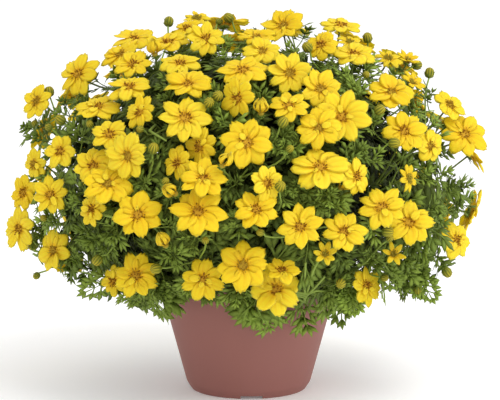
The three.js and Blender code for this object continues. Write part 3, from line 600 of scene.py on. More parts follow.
@cache
def find_plant():
    """The whole plan of the plant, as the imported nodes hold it."""
    sprays = find_sprays()
    stems = []
    groups = share_out(sprays, lambda spray: spray.fork, STEM.count, STEM.lowest)
    for k, (index, members) in enumerate(groups):
        stem = SimpleNamespace(node=f"leafy_stem_{k + 1:02d}", index=index, members=members)
        find_stem(stem)
        find_core(stem)
        stems.append(stem)
    for stem in stems:
        for spray in stem.members:
            end = spray.foot - spray.aim * SPRAY.seat
            find_limb(stem, end, spray.aim, STEM.branch, LEAF.on_branches)
    for i in range(SHOOTS.count):
        rise = between(SHOOTS.rise, (i + 0.5) / SHOOTS.count)
        place = cushion_point(i * GOLDEN + SHOOTS.first_turn, rise)
        end = towards(place, SHOOTS.reach)
        knees = [stem.knee + (stem.knee - HEART) * SHOOTS.knee_stretch for stem in stems]
        stem = stems[int(np.argmin([span(knee, place) for knee in knees]))]
        find_limb(stem, end, unit(place - end), STEM.shoot, LEAF.on_shoots)
    for x, y in BUDS:
        find_bud(stems, x, y)
    index = 0
    for stem in stems:
        for tip in stem.tips:
            for _ in range(tip.leaves):
                index += 1
                ways = leaf_ways(tip, index)
                leaf, gap = best_fit(ways, lambda way: bent_leaf(way, LEAF_TIPS), stem.node)
                if gap < FOUND:
                    stem.leaves.append(leaf)
    return SimpleNamespace(sprays=sprays, stems=stems)


# Skins: corners, faces and marks, gathered part by part and made into one mesh.

# Marks that each corner carries into the finishes; the depth mark paints the plant's shade.
MARKS = ("along", "across", "tone", "depth")
UV_NAME = "OFBake"
CELL_FILL = 0.94


class Skin:
    """The triangles of one piece. Each part brings its marks, finish and flat chart."""

    def __init__(self):
        self.points, self.faces, self.finish, self.charts, self.cells = [], [], [], [], []
        self.marks = {name: [] for name in MARKS}
        self.count = 0
        self.parts = 0

    def add(self, points, faces, finish, chart, side=None, **marks):
        n, m = len(points), len(faces)
        self.points.append(np.asarray(points, float))
        self.faces.append(np.asarray(faces, int) + self.count)
        self.finish.append(np.full(m, finish))
        for name in MARKS:
            self.marks[name].append(np.broadcast_to(np.asarray(marks.get(name, 0.0), float), n))
        chart = np.asarray(chart, float)
        low, high = chart.min(axis=0), chart.max(axis=0)
        self.charts.append((chart - low) / np.maximum(high - low, 1e-9))
        side = np.zeros(m, int) if side is None else np.asarray(side, int)
        self.cells.append(self.parts + side)
        self.parts += int(side.max()) + 1
        self.count += n

    def chart_map(self, faces):
        """The place of each face's corners on a map with a cell for each chart."""
        columns = ceil(sqrt(self.parts))
        cell = np.concatenate(self.cells)
        origin = np.stack([cell % columns, cell // columns], axis=1)
        local = np.concatenate(self.charts)[faces] * CELL_FILL + (1 - CELL_FILL) / 2
        return (origin[:, None, :] + local) / columns

    def build(self, name, materials, mapped=True):
        points = np.concatenate(self.points) * MM
        faces = np.concatenate(self.faces)
        mesh = bpy.data.meshes.new(name)
        mesh.vertices.add(len(points))
        mesh.vertices.foreach_set("co", points.ravel())
        mesh.loops.add(faces.size)
        mesh.loops.foreach_set("vertex_index", faces.ravel())
        mesh.polygons.add(len(faces))
        mesh.polygons.foreach_set("loop_start", np.arange(0, faces.size, 3))
        for material in materials:
            mesh.materials.append(material)
        mesh.polygons.foreach_set("material_index", np.concatenate(self.finish))
        mesh.polygons.foreach_set("use_smooth", np.ones(len(faces), bool))
        for mark, values in self.marks.items():
            layer = mesh.attributes.new(mark, "FLOAT", "POINT")
            layer.data.foreach_set("value", np.concatenate(values))
        if mapped:
            mesh.uv_layers.new(name=UV_NAME).uv.foreach_set("vector", self.chart_map(faces).ravel())
        mesh.update(calc_edges=True)
        if mesh.validate():
            raise RuntimeError(f"{name} has faces that had to be mended")
        piece = bpy.data.objects.new(name, mesh)
        bpy.context.scene.collection.objects.link(piece)
        return piece


def keep(piece, slot, *nodes):
    """Ties a piece to the frame's body and hides the imported nodes it stands for. The slot is not used."""
    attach(piece, BODY)
    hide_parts(*nodes)


def grid_faces(rows, columns, wrap=False):
    """Two triangles for each cell of a grid, whose columns may close on themselves."""
    faces = []
    for i in range(rows - 1):
        for j in range(columns if wrap else columns - 1):
            k = (j + 1) % columns
            a, b = i * columns + j, i * columns + k
            c, d = a + columns, b + columns
            faces += [(a, b, d), (a, d, c)]
    return np.array(faces)


def fan(ring, centre):
    return [(ring[i], ring[(i + 1) % len(ring)], centre) for i in range(len(ring))]


@cache
def lathe_faces(rings, sides):
    """Faces of rings stacked upwards, closed at each end by a fan round a corner."""
    n = rings * sides
    faces = grid_faces(rings, sides, wrap=True).tolist()
    faces += fan(range(sides - 1, -1, -1), n)
    faces += fan(range(n - sides, n), n + 1)
    return np.array(faces)


@cache
def circle(sides):
    turns = 2 * pi * np.arange(sides) / sides
    return np.stack([np.cos(turns), np.sin(turns)], axis=1)


def level_ring(flat, height):
    """The corners of a ring, given flat, at one height or at one each."""
    return np.column_stack([flat, np.broadcast_to(height, len(flat))])


def closed(rings, low, high):
    """The corners of stacked rings, and one on the axis for each end."""
    return np.concatenate([*rings, [(0, 0, low), (0, 0, high)]])


def ring_chart(steps, sides):
    """A flat chart of stacked rings and their end corners: shares along and round."""
    along = np.concatenate([np.repeat(steps, sides), steps[:1], steps[-1:]])
    turns = np.concatenate([np.tile(np.arange(sides) / sides, len(steps)), [0, 0]])
    return np.stack([along, turns], axis=1)


def add_lathe(skin, centre, axes, profile, sides, finish, **marks):
    """A round solid about an axis, from its radii and heights from the bottom up."""
    rings = [level_ring(circle(sides) * r, z) for r, z in profile]
    points = placed(centre, axes, closed(rings, profile[0][1], profile[-1][1]))
    chart = ring_chart(np.linspace(0, 1, len(profile)), sides)
    marks = {"along": chart[:, 0], "across": chart[:, 1], **marks}
    skin.add(points, lathe_faces(len(profile), sides), finish, chart, **marks)


STALK = SimpleNamespace(sides=6, steps=9, taper=0.9)


def add_tube(skin, run, radii, sides=STALK.sides, finish=0, **marks):
    """A round tapering stalk along a run of points."""
    run = np.asarray(run)
    rings = rings_along(run, radii, sides, cross_axis(run[-1] - run[0]))
    points = np.concatenate([rings, run[:1], run[-1:]])
    chart = ring_chart(np.linspace(0, 1, len(run)), sides)
    faces = lathe_faces(len(run), sides)[:, ::-1]
    # The depth mark, by default the run's mean depth in the plant, paints the stalk's shade.
    marks = {"along": chart[:, 0], "across": 0.5, "depth": mean_depth(run), **marks}
    skin.add(points, faces, finish, chart, **marks)


# A lobe has five corners on its rim, from foot to foot, and one above and one below its middle.
LOBE_FACES = np.array(
    [(i, (i + 1) % 5, 5) for i in range(5)] + [((i + 1) % 5, i, 6) for i in range(5)]
)
LOBE_CORNERS = 7
LOBE_SIDES = np.repeat([0, 1], 5)
LOBE_CHART = np.array([(0, 0.25), (0.6, 0), (1, 0.5), (0.6, 1), (0, 0.75), (0.5, 0.5), (0.5, 0.5)])
LOBE_ALONG = [0, 0.6, 1, 0.6, 0, 0.5, 0.5]
LOBE_ACROSS = [0.8, 1, 0.5, 1, 0.8, 0, 0]
LOBE_LIFT = [0, 0, 0, 0, 0, 1, -1]
LOBE_FOOT = 0.5


def add_bract(skin, base, tip, left, half, lift, finish, **marks):
    """One narrow pointed bract with a raised middle."""
    widest = (base + tip) / 2
    up = unit(np.cross(tip - base, left)) * lift
    side, foot = left * half, left * half * LOBE_FOOT
    points = [base - foot, widest - side, tip, widest + side, base + foot, widest + up, widest - up]
    skin.add(
        points, LOBE_FACES, finish, LOBE_CHART, LOBE_SIDES, along=LOBE_ALONG, across=LOBE_ACROSS, **marks
    )


# Painted shade inside the plant: the cushion depth at which colours start to darken, and the depth over
# which the darkening grows full.
SHADE = SimpleNamespace(starts=0.95, deepens=0.25)


def depth_mark(points):
    """How deep in the plant's shade points lie, from 0 near the surface to 1; the finishes paint their
    shade from it.
    """
    return np.clip((SHADE.starts - cushion_depth(points)) / SHADE.deepens, 0, 1)


def mean_depth(points):
    return float(depth_mark(points).mean())


# Petals, discs and what holds them.

# How many petals a bloom shows and how they stand. Pairs are the ends of a range.
PETAL = SimpleNamespace(
    rows=8, columns=7, base=0.13, base_height=1.0, counts=(7, 8, 8), few=(6, 7, 8), small_below=14,
    reach=(0.95, 1.09), touch=0.8, broadest=0.38, stagger=0.035, rise_sway=(-0.08, 0.08), turn_sway=0.18,
    width_sway=(0.9, 1.1), warp=(-0.1, 0.1), tone_sway=(-0.2, 0.2), closed_below=8.5, young_below=11,
    young_half=0.66, young_rise=0.7, young_marks=(0, 0.6),
)
# The outline and relief of a petal, as shares of its length or width where they aren't powers.
RELIEF = SimpleNamespace(
    waves=3, tooth=(0.02, 0.1), tip_power=2.2, narrow=0.38, swell_power=1.15, arch=(0.02, 0.12),
    curl=(-0.15, 0.6), curl_from=0.6, groove_sway=(0.7, 1.3), groove_run=0.96, groove_power=0.6,
    edge_rise=0.3, edge_sway=(-0.2, 0.12), slope_sway=(-0.12, 0.12),
)
HABIT = SimpleNamespace(
    widest=(0.48, 0.62), shoulder_fall=(0.24, 0.46), tip_fall=(0.12, 0.28), slim=(0.88, 1.1)
)
# The closed cup of a bloom that is about to open, in shares of its radius, and its lean.
CUP = SimpleNamespace(
    base=0.22, length=(-0.18, 0.02), bulge=0.42, rise=(1.15, 1.5), width=(0.16, 0.21), lean=0.55
)
# The short extra petals that stand over the disc.
INNER = SimpleNamespace(
    of_double=3, counts=(0, 1, 1, 2), length=(5.0, 8.0), pitch=(1.3, 2.4), base=0.12, groove=0.3,
    width=(0.28, 0.4), lift=1.4, rise=(0.3, 0.6), warp=(-0.15, 0.15), marks=(0.5, 1),
)
DISC = SimpleNamespace(
    sides=12, dome=0.8, profile=((0.9, 0), (1, 0.2), (0.9, 0.5), (0.6, 0.8), (0.25, 0.95)), tone=0.3,
    greens=(0, 0, 0, 0.5), crown=0.6, fall=0.4,
)
FLORET = SimpleNamespace(
    height=(1.4, 2.8), sides=4, lean=(0.15, 1.1), wobble=0.25, ripe_share=0.74, ripe=(0.8, 1),
    unripe=(0, 0.2), green_fade=0.7, turn_sway=(-0.25, 0.25), thick=(0.75, 1.15), widest=0.6,
    radii=(0.7, 1, 0.6),
)
CALYX = SimpleNamespace(
    bracts=8, reach=0.42, half=0.95, drop=1.6, drop_sway=(0.4, 1.4), turn_sway=(-0.15, 0.15), sides=8,
    width=0.22, root=1.2, lift=0.3, tone=0.5, neck=(0.9, 0.6), collar=1.5, brim=(0.9, 0.9), top=0.1,
)
FORK = SimpleNamespace(below=1.5, above=2, radii=(1.1, 1.1, 1.2, 0.8), tone=0.4)


@cache
def petal_grid():
    """Shares along and across a petal, and the faces of its sides, which share a rim."""
    rows, columns = PETAL.rows + 1, PETAL.columns
    s, v = np.meshgrid(np.linspace(0, 1, rows), np.linspace(-1, 1, columns), indexing="ij")
    inner = (s > 0) & (s < 1) & (np.abs(v) < 1)
    under = np.arange(rows * columns).reshape(rows, columns)
    under[inner] = rows * columns + np.arange(inner.sum())
    down = grid_faces(rows, columns)
    down = down[inner.ravel()[down].any(axis=1)]
    top = down[:, ::-1]
    bottom = under.ravel()[down]
    side = np.repeat([0, 1], len(top))
    return s.ravel(), v.ravel(), inner.ravel(), np.concatenate([top, bottom]), side


def bloom_habit(rng):
    """What the petals of one bloom have in common."""
    return SimpleNamespace(
        widest=rng.uniform(*HABIT.widest), shoulder_fall=rng.uniform(*HABIT.shoulder_fall),
        tip_fall=rng.uniform(*HABIT.tip_fall), slim=rng.uniform(*HABIT.slim), tone=rng.uniform(),
    )


def add_petal(skin, bloom, rng, form, habit, tone, marks=(0, 1)):
    """A long petal with two grooves and a toothed tip."""
    s, v, inner, faces, side = petal_grid()
    length, width = form.length, form.width
    tooth = between(RELIEF.tooth, rng.uniform())
    wave = np.cos(RELIEF.waves * pi * v)
    run_out = 1 - habit.tip_fall * np.abs(v) ** RELIEF.tip_power - tooth * (1 - wave) / 2
    swell = np.clip(s / habit.widest, 0, 1)
    past = np.clip((s - habit.widest) / (1 - habit.widest), 0, 1)
    half = RELIEF.narrow + (1 - RELIEF.narrow) * np.sin(swell * pi / 2) ** RELIEF.swell_power
    half = half * (1 - habit.shoulder_fall * past**3)
    along = s * run_out * length + form.bulge * np.sin(pi * s)
    across = v * half * width
    arch = rng.uniform(*RELIEF.arch) * length
    curl = rng.uniform(*RELIEF.curl) * length
    height = form.start + (form.rise - form.start) * s * run_out
    height += arch * np.sin(pi * s) - curl * np.clip(s - RELIEF.curl_from, 0, 1) ** 2
    groove = sizes().groove / MM * rng.uniform(*RELIEF.groove_sway) * form.groove
    height += groove * wave * np.sin(pi * (s * RELIEF.groove_run)) ** RELIEF.groove_power
    height += width * v**2 * (RELIEF.edge_rise * (1 - s) ** 2 + rng.uniform(*RELIEF.edge_sway) * s)
    height += across * (sizes().overlap + rng.uniform(*RELIEF.slope_sway)) + form.warp * v * s**2 * length
    slope = atan2(form.rise - form.start, length)
    thick = np.where(inner, sizes().petal_thickness / MM / 2, 0)
    inward, upward = thick * sin(slope), thick * cos(slope)
    along = along + form.base
    top = np.stack([along - inward, across, height + upward], axis=1)
    under = np.stack([along + inward, across, height - upward], axis=1)[inner]
    out = swing(form.turn, *bloom.axes[:2])
    axes = np.array([out, np.cross(bloom.axes[2], out), bloom.axes[2]])
    s, v = np.concatenate([s, s[inner]]), np.concatenate([v, v[inner]])
    points = placed(bloom.centre, axes, np.concatenate([top, under]))
    marks = {"along": between(marks, s), "across": v, "tone": tone, "depth": bloom.depth}
    skin.add(points, faces, 0, np.stack([s, v], axis=1), side, **marks)


def is_closed(bloom):
    return bloom.radius < PETAL.closed_below


def is_young(bloom):
    return bloom.radius < PETAL.young_below


def shown_petals(bloom, rng):
    """A bloom's petals: more and narrower ones than its solid's, from the same turn."""
    few = bloom.radius < PETAL.small_below
    count = max(len(bloom.plan), int(rng.choice(PETAL.few if few else PETAL.counts)))
    pitch = 2 * pi / count
    rise = float(np.mean([petal.rise for petal in bloom.plan]))
    half = min(PETAL.touch * tan(pitch / 2), PETAL.broadest)
    if is_young(bloom):
        half *= PETAL.young_half
        rise *= PETAL.young_rise
    petals = []
    for k in range(count):
        stagger = PETAL.stagger * (1 if k % 2 else -1)
        turn = bloom.plan[0].turn + (k + rng.uniform(-1, 1) * PETAL.turn_sway) * pitch
        lift = (rise + stagger + rng.uniform(*PETAL.rise_sway)) * bloom.radius
        reach = bloom.radius * between(PETAL.reach, rng.uniform())
        petals.append(SimpleNamespace(turn=turn, rise=lift, reach=reach, half=half * bloom.radius))
    return petals


def leaning(bloom):
    """A closed cup leans further back than its solid, so that its side is seen."""
    up = bloom.axes[2]
    across = unit(up - (up @ SIGHT) * SIGHT)
    aim = swing(CUP.lean, up, unit(across - (across @ up) * up))
    return SimpleNamespace(**{**vars(bloom), "axes": frame_about(aim)})


def folded(form, bloom, rng):
    """Turns a petal's form up into the closed cup of a bloom that is about to open."""
    form.base = CUP.base * bloom.radius
    form.length = rng.uniform(*CUP.length) * bloom.radius
    form.bulge = CUP.bulge * bloom.radius
    form.rise = rng.uniform(*CUP.rise) * bloom.radius
    form.width = rng.uniform(*CUP.width) * bloom.radius


def add_petals(skin, bloom):
    """The petals of a bloom, and on an open one the short extra ones over its disc."""
    rng = np.random.default_rng(SEED.petals + bloom.index)
    habit = bloom_habit(rng)
    if is_closed(bloom):
        bloom = leaning(bloom)
    for petal in shown_petals(bloom, rng):
        base = PETAL.base * bloom.radius
        form = SimpleNamespace(
            turn=petal.turn, base=base, length=petal.reach - base, groove=1, bulge=0,
            width=petal.half * sizes().petal_breadth * habit.slim * rng.uniform(*PETAL.width_sway),
            start=PETAL.base_height, rise=petal.rise, warp=rng.uniform(*PETAL.warp),
        )
        if is_closed(bloom):
            folded(form, bloom, rng)
        tone = np.clip(habit.tone + rng.uniform(*PETAL.tone_sway), 0, 1)
        # The span of the along mark, which sets how far the painted shade at the base and in the grooves
        # reaches.
        marks = PETAL.young_marks if is_young(bloom) else (0, 1)
        add_petal(skin, bloom, rng, form, habit, tone, marks)
    double = len(bloom.plan) > BLOOM.double_above
    extra = INNER.of_double if double else int(rng.choice(INNER.counts))
    first = rng.uniform(0, 2 * pi)
    for k in range(0 if is_young(bloom) else extra):
        length = rng.uniform(*INNER.length)
        form = SimpleNamespace(
            turn=first + k * rng.uniform(*INNER.pitch), base=INNER.base * bloom.radius, length=length,
            groove=INNER.groove, width=length * rng.uniform(*INNER.width), bulge=0,
            start=PETAL.base_height + INNER.lift, rise=length * rng.uniform(*INNER.rise),
            warp=rng.uniform(*INNER.warp),
        )
        add_petal(skin, bloom, rng, form, habit, 1, INNER.marks)


def add_disc(skin, bloom):
    """The low dome of a bloom's middle, with its leaning florets on an even spiral."""
    rng = np.random.default_rng(SEED.discs + bloom.index)
    radius = BLOOM.disc * bloom.radius
    profile = [(radius * r, BLOOM.disc_height * DISC.dome * h) for r, h in DISC.profile]
    green = 1.0 if is_young(bloom) else rng.choice(DISC.greens)
    marks = {"across": green, "depth": bloom.depth}
    add_lathe(skin, bloom.centre, bloom.axes, profile, DISC.sides, 1, tone=DISC.tone, **marks)
    for k in range(0 if is_closed(bloom) else sizes().florets):
        share = sqrt((k + 0.5) / sizes().florets)
        turn = k * GOLDEN + rng.uniform(*FLORET.turn_sway)
        out = vec(cos(turn), sin(turn), 0)
        foot = out * radius * share + UP * BLOOM.disc_height * (DISC.crown - DISC.fall * share**3)
        height = between(FLORET.height, rng.uniform())
        wobble = rng.normal(0, FLORET.wobble, 3) * vec(1, 1, 0)
        aim = unit(UP + out * between(FLORET.lean, share) + wobble)
        thick = sizes().floret_radius / MM * rng.uniform(*FLORET.thick)
        steps = [foot, foot + aim * height * FLORET.widest, foot + aim * height]
        run = placed(bloom.centre, bloom.axes, steps)
        ripe = rng.uniform(*(FLORET.ripe if rng.uniform() < FLORET.ripe_share else FLORET.unripe))
        tone = ripe * (1 - FLORET.green_fade * green)
        radii = [thick * share for share in FLORET.radii]
        add_tube(skin, run, radii, FLORET.sides, 1, tone=tone, **marks)


def add_calyx(skin, bloom):
    """The green cup and bracts below a bloom."""
    rng = np.random.default_rng(SEED.calyxes + bloom.index)
    drop = BLOOM.calyx_depth
    wide = CALYX.width * bloom.radius
    neck, neck_drop = CALYX.neck
    brim, brim_drop = CALYX.brim
    profile = [(neck, -drop - neck_drop), (CALYX.collar, -drop), (wide * brim, -brim_drop)]
    profile.append((wide, -CALYX.top))
    marks = {"tone": CALYX.tone, "depth": bloom.depth}
    add_lathe(skin, bloom.centre, bloom.axes, profile, CALYX.sides, 0, **marks)
    for k in range(CALYX.bracts):
        turn = 2 * pi * (k + rng.uniform(*CALYX.turn_sway)) / CALYX.bracts
        out = swing(turn, *bloom.axes[:2])
        root = bloom.centre - bloom.facing * drop + out * CALYX.root
        tip = bloom.centre + out * CALYX.reach * bloom.radius
        tip = tip - bloom.facing * CALYX.drop * rng.uniform(*CALYX.drop_sway)
        left = np.cross(bloom.facing, out)
        add_bract(skin, root, tip, left, CALYX.half, CALYX.lift, 1, **marks)


def add_stalks(skin, spray):
    """The fork of a spray and the thin stalk of each of its blooms."""
    foot, fork, aim = spray.foot, spray.fork, spray.aim
    radii = [share * sizes().branch_radius / MM for share in FORK.radii]
    run = [foot - aim * FORK.below, foot, fork, fork + aim * FORK.above]
    add_tube(skin, run, radii, tone=FORK.tone, depth=mean_depth(foot))
    for bloom in spray.members:
        run = on_curve(bloom.stalk, np.linspace(0, 1, STALK.steps))
        radii = np.linspace(STALK.taper, 1, STALK.steps) * sizes().stalk_radius / MM
        tone = trait(bloom.index, TRAIT.stalk_tone)
        add_tube(skin, run, radii, tone=tone)
        add_calyx(skin, bloom)


# Leaves, twice cut into narrow pointed lobes.

# A lobe's numbers in side_pairs and lobes: where it starts, how far its tip reaches and its size.
FINE_LEAF = SimpleNamespace(
    kinds=8, side_pairs=((0.42, 0.8, 0.36), (0.12, 0.42, 0.36)), wave=0.06, wave_pitch=5,
    stem=(-0.05, 0.7), stem_half=0.05, end_from=0.45, end_half=0.125, side_half=0.11,
    size_sway=(0.8, 1.15), reach_sway=(-0.05, 0.05), half_sway=(0.85, 1.2), tip_sway=(-0.03, 0.03),
    outset=0.02, top_back=0.12, rib=0.6, rib_taper=0.4, rib_past=(-0.02, 0.06), rib_steps=6,
    rib_sides=3,
)
LOBE_WIDEST = (0.5, 0.66)
SPRIG_LEAF = SimpleNamespace(
    kinds=6, lobes=((0.24, 0.6, 0.36), (0.5, 0.9, 0.3)), stem=0.7, end_from=0.5, half=0.085,
    rib_half=0.04, half_sway=(0.85, 1.15), shake=0.04, droop=0.12, fold=0.1,
)
# The leaves along the stalks. Those at the right keep further in, where the picture is airier.
THICKET = SimpleNamespace(
    stalk_shares=(0.35, 0.75), limb_shares=(0.5, 0.95), ahead=0.02, spread=(40, 80),
    turn_sway=(-0.5, 0.5), length=(30, 46), tone=(0, 0.8), face_aim=0.4, face_up=0.2, tries=4,
    kept_pinnae=3, petal_gap=0.7, pot_gap=2.5, outmost=0.9, airy=0.37, droop=0.14, fold=0.12,
    lowest=45, cover=22, low=112,
)
STEM_LEAF_TONE = (0.2, 1)
HEART_LEAF = SimpleNamespace(shortest=16, length=(1.3, 1.9), kept_pinnae=2)
# A sprig's pairs of leaves: the share of its run, the spread in degrees and the size of each.
SPRIG = SimpleNamespace(
    pairs=((0.66, 68, 1.0), (0.84, 52, 0.9), (1.0, 25, 0.65)), stalk=0.55, run=34, size=1,
    length=(13, 24), outmost=1.1, tip=0, hang=0, lift=0.5, tone=(0.4, 1.1), anchors=8,
    reach=(12, 75), sunk=7, edge_sunk=0, facing_gain=1.6, inset=5, places=150, first_turn=0.5,
    rise=(0.95, -0.8), depth=(0.88, 0.97), spacing=18, thinned=0.5, clear=1.5,
)
# Tones above 1 take the fresh green, which is partly painted light on the low fronds in the plant's shade.
FROND = SimpleNamespace(
    pairs=((0.2, 64, 0.75), (0.62, 50, 0.85), (1.0, 12, 1.0)), run=34, size=1, stalk=0.7,
    length=(22, 32), outmost=1.35, tip=24, hang=0, lift=0, tone=(0.7, 1.3),
)
BROAD_FROND = SimpleNamespace(
    pairs=((0.1, 72, 0.8), (0.34, 66, 1.0), (0.58, 58, 1.0), (0.8, 46, 0.85), (1.0, 20, 0.7)),
    run=44, size=1.3, stalk=0.7, length=(13, 24), outmost=1.5, tip=16, hang=0.8, lift=-1,
    tone=(1.0, 1.7), pot_gap=12,
)
TWIG = SimpleNamespace(
    steps=8, sides=4, taper=0.6, shortest=0.3, hang_rise=0.3, size_sway=(0.85, 1.15),
    turn_sway=(-0.3, 0.3), spread_sway=(-10, 10), tone_sway=(-0.15, 0.15), face_aim=0.6,
)
# Shares of the stalks and limbs at which sprigs may leave them, and how much deeper those lie.
HOLD = SimpleNamespace(stalk=(0.3, 0.5, 0.7, 0.9), limb=(0.4, 0.6, 0.8, 0.97), deeper=0.03)
FINE_BUD = SimpleNamespace(
    small=0.7, sides=20, steps=8, stalk=0.85, crease=0.1, crease_gain=3, bract_root=0.3,
    bract_out=(1.1, 1.5), bract_up=(0.2, 0.7), bract_half=0.65, bract_lift=0.25, bract_tone=0.3,
    turn_sway=(-0.2, 0.2),
)
# Rings of a bud: the share of its length and of its radius.
BUD_RINGS = (
    (0, 0.3), (0.1, 0.78), (0.28, 1.0), (0.5, 1.0), (0.68, 0.86), (0.8, 0.62), (0.86, 0.36), (0.8, 0.12),
)
# The fine stem; its depth is a fixed depth mark, which darkens it with painted shade.
FINE_STEM = SimpleNamespace(steps=10, sides=8, taper=0.86, buried=5, depth=0.8, limb_radii=(1.1, 0.85))

# Bright sprigs that stand out in the picture, between the blooms and at the plant's edge: place (x, y).
SPRIGS = [
    (61, 104), (25, 126), (36, 137), (42, 122), (76, 133), (72, 193), (63, 209), (78, 204), (157, 151),
    (164, 159), (165, 193), (141, 183), (167, 96), (290, 8), (305, 29), (227, 43), (225, 55), (168, 78),
    (255, 89), (262, 96), (221, 110), (224, 122), (320, 65), (327, 58), (340, 70), (348, 77), (357, 87),
    (367, 67), (395, 76), (421, 89), (433, 93), (418, 108), (361, 95), (433, 125), (376, 121), (212, 111),
    (286, 146), (280, 136), (298, 141), (285, 192), (299, 188), (329, 196), (334, 206), (317, 201),
    (351, 157), (361, 151), (236, 229), (231, 185), (427, 173), (445, 172), (376, 158),
    (458, 189), (468, 185), (472, 199), (436, 210), (443, 222), (467, 206), (440, 262), (446, 268),
    (427, 245), (418, 250), (409, 267), (422, 263), (408, 276), (414, 284), (420, 290), (404, 290),
    (405, 165), (82, 236), (93, 252), (103, 249), (112, 235), (88, 243), (74, 263), (69, 274),
    (80, 276), (90, 280), (127, 290), (144, 296), (163, 292), (189, 284), (170, 259), (189, 249),
    (205, 300), (237, 302), (300, 304), (325, 295), (345, 262), (346, 292), (338, 290), (372, 262),
    (385, 268), (392, 280), (470, 190), (34, 230), (41, 238),
    (44, 222), (31, 262), (42, 276), (50, 222), (30, 246),
]

# Tips (x, y) of longer fresh fronds at the plant's lower edge, then of broad ones that hang there
# and before the pot.
FRONDS = [
    (154, 302), (164, 298), (118, 280), (104, 276), (92, 272), (342, 296), (346, 306), (384, 276),
    (406, 296), (424, 302), (408, 282), (132, 286),
]
BROAD_FRONDS = [
    (152, 304), (166, 310), (178, 316), (192, 304), (220, 306), (234, 314), (249, 325), (259, 336),
    (269, 341), (279, 326), (301, 333), (328, 314), (338, 310), (334, 318),
]

# Pale forked stalks that show between the leaves: their places (x, y) from foot to tip.
SHOWN_STALKS = [
    ((305, 303), (305, 284), (306, 264)), ((306, 299), (313, 273), (325, 250)),
    ((307, 297), (316, 288), (325, 278)), ((308, 295), (316, 292), (327, 293)),
    ((98, 214), (110, 217), (124, 222)),
    ((392, 276), (399, 284), (402, 296)), ((149, 130), (157, 135), (166, 140)),
]
SHOWN_STALK = SimpleNamespace(radius=1.0, sunk=1, back=0.5, taper=0.7, tone=0.1, root_depth=0.1)


def lobe(base, tip, half, rng):
    """The corners of one pointed lobe, the last two of which are its raised middle."""
    run = tip - base
    left = vec(-run[1], run[0]) / np.linalg.norm(run) * half
    foot = left * LOBE_FOOT
    widest = base + run * rng.uniform(*LOBE_WIDEST)
    middle = base + run / 2
    return [base - foot, widest - left, tip, widest + left, base + foot, middle, middle]


@cache
def leaf_pattern(kind):
    """One flat leaf a unit long: lobes, the pinna of each, which carry others, and roots."""
    rng = np.random.default_rng(SEED.leaf_patterns + kind)
    lobes, pinnae, carriers, roots = [], [], [], []

    def pinna(base, tip, pairs):
        run = tip - base
        length = np.linalg.norm(run)
        left = vec(-run[1], run[0])
        first, last = (base + run * share for share in FINE_LEAF.stem)
        here = [lobe(first, last, length * FINE_LEAF.stem_half, rng)]
        here.append(lobe(base + run * FINE_LEAF.end_from, tip, length * FINE_LEAF.end_half, rng))
        for start, reach, size in FINE_LEAF.side_pairs[:pairs]:
            for side in (1, -1):
                out = size * rng.uniform(*FINE_LEAF.size_sway) * side
                end = base + run * (reach + rng.uniform(*FINE_LEAF.reach_sway)) + left * out
                half = length * FINE_LEAF.side_half * rng.uniform(*FINE_LEAF.half_sway)
                here.append(lobe(base + run * start, end, half, rng))
        pinnae.extend([len(roots)] * len(here))
        carriers.extend([True] + [False] * (len(here) - 1))
        lobes.extend(here)
        roots.append(base[0])

    past = FINE_LEAF.outset
    for x, tip_x, tip_y in zip(LEAF.rib, LEAF.tip_run, LEAF.tip_spread):
        for side in (1, -1):
            shake = rng.uniform(*FINE_LEAF.tip_sway, 2)
            tip = vec(tip_x + past, side * (tip_y + past)) + shake
            pinna(vec(x - past, 0), tip, 2 if x == LEAF.rib[0] else 1)
    pinna(vec(LEAF.rib[-1] - FINE_LEAF.top_back, 0), vec(1 + past, 0), 1)
    return np.array(lobes), np.array(pinnae), np.array(carriers), np.array(roots)


@cache
def sprig_pattern(kind):
    """One small flat leaf a unit long: a rib with a few lobes."""
    rng = np.random.default_rng(SEED.sprig_patterns + kind)
    lobes = [lobe(vec(0, 0), vec(SPRIG_LEAF.stem, 0), SPRIG_LEAF.rib_half, rng)]
    lobes.append(lobe(vec(SPRIG_LEAF.end_from, 0), vec(1, 0), SPRIG_LEAF.half, rng))
    for start, reach, size in SPRIG_LEAF.lobes:
        for side in (1, -1):
            end = vec(reach, side * size) + rng.uniform(-SPRIG_LEAF.shake, SPRIG_LEAF.shake, 2)
            half = SPRIG_LEAF.half * rng.uniform(*SPRIG_LEAF.half_sway)
            lobes.append(lobe(vec(start, 0), end, half, rng))
    n = len(lobes)
    carriers = np.arange(n) == 0
    return np.array(lobes), np.zeros(n, int), carriers, np.zeros(1)


def tree_of(skins):
    """A search tree of the triangles of some skins."""
    points = np.concatenate([point for skin in skins for point in skin.points])
    first = np.cumsum([0] + [skin.count for skin in skins])
    faces = np.concatenate([f + first[k] for k, skin in enumerate(skins) for f in skin.faces])
    return bvhtree.BVHTree.FromPolygons(points.tolist(), faces.tolist())


class Petals:
    """Where the petals are, so that leaves and buds keep off them."""

    def __init__(self, skins, shown):
        self.tree = tree_of(skins)
        self.shown = tree_of(shown)

    def near(self, point, gap):
        """Whether a petal lies within a gap of a point."""
        return self.tree.find_nearest(Vector(point), gap)[0] is not None

    def below(self, point):
        """Whether a petal lies close under a point, seen by the viewer or from outside."""
        point = Vector(point)
        seen = self.shown.ray_cast(point, Vector(unit(point - Vector(EYE))), THICKET.cover)[0]
        if seen is not None or point.z < THICKET.low:
            return seen is not None
        return self.tree.ray_cast(point, Vector(-cushion_normal(point)), THICKET.cover)[0] is not None

    def hit(self, start, end, gap=THICKET.petal_gap):
        """Whether a straight run passes through a petal or ends too near one."""
        start, run = Vector(start), Vector(end - start)
        if self.tree.ray_cast(start, run.normalized(), run.length)[0] is not None:
            return True
        return self.near(end, gap)


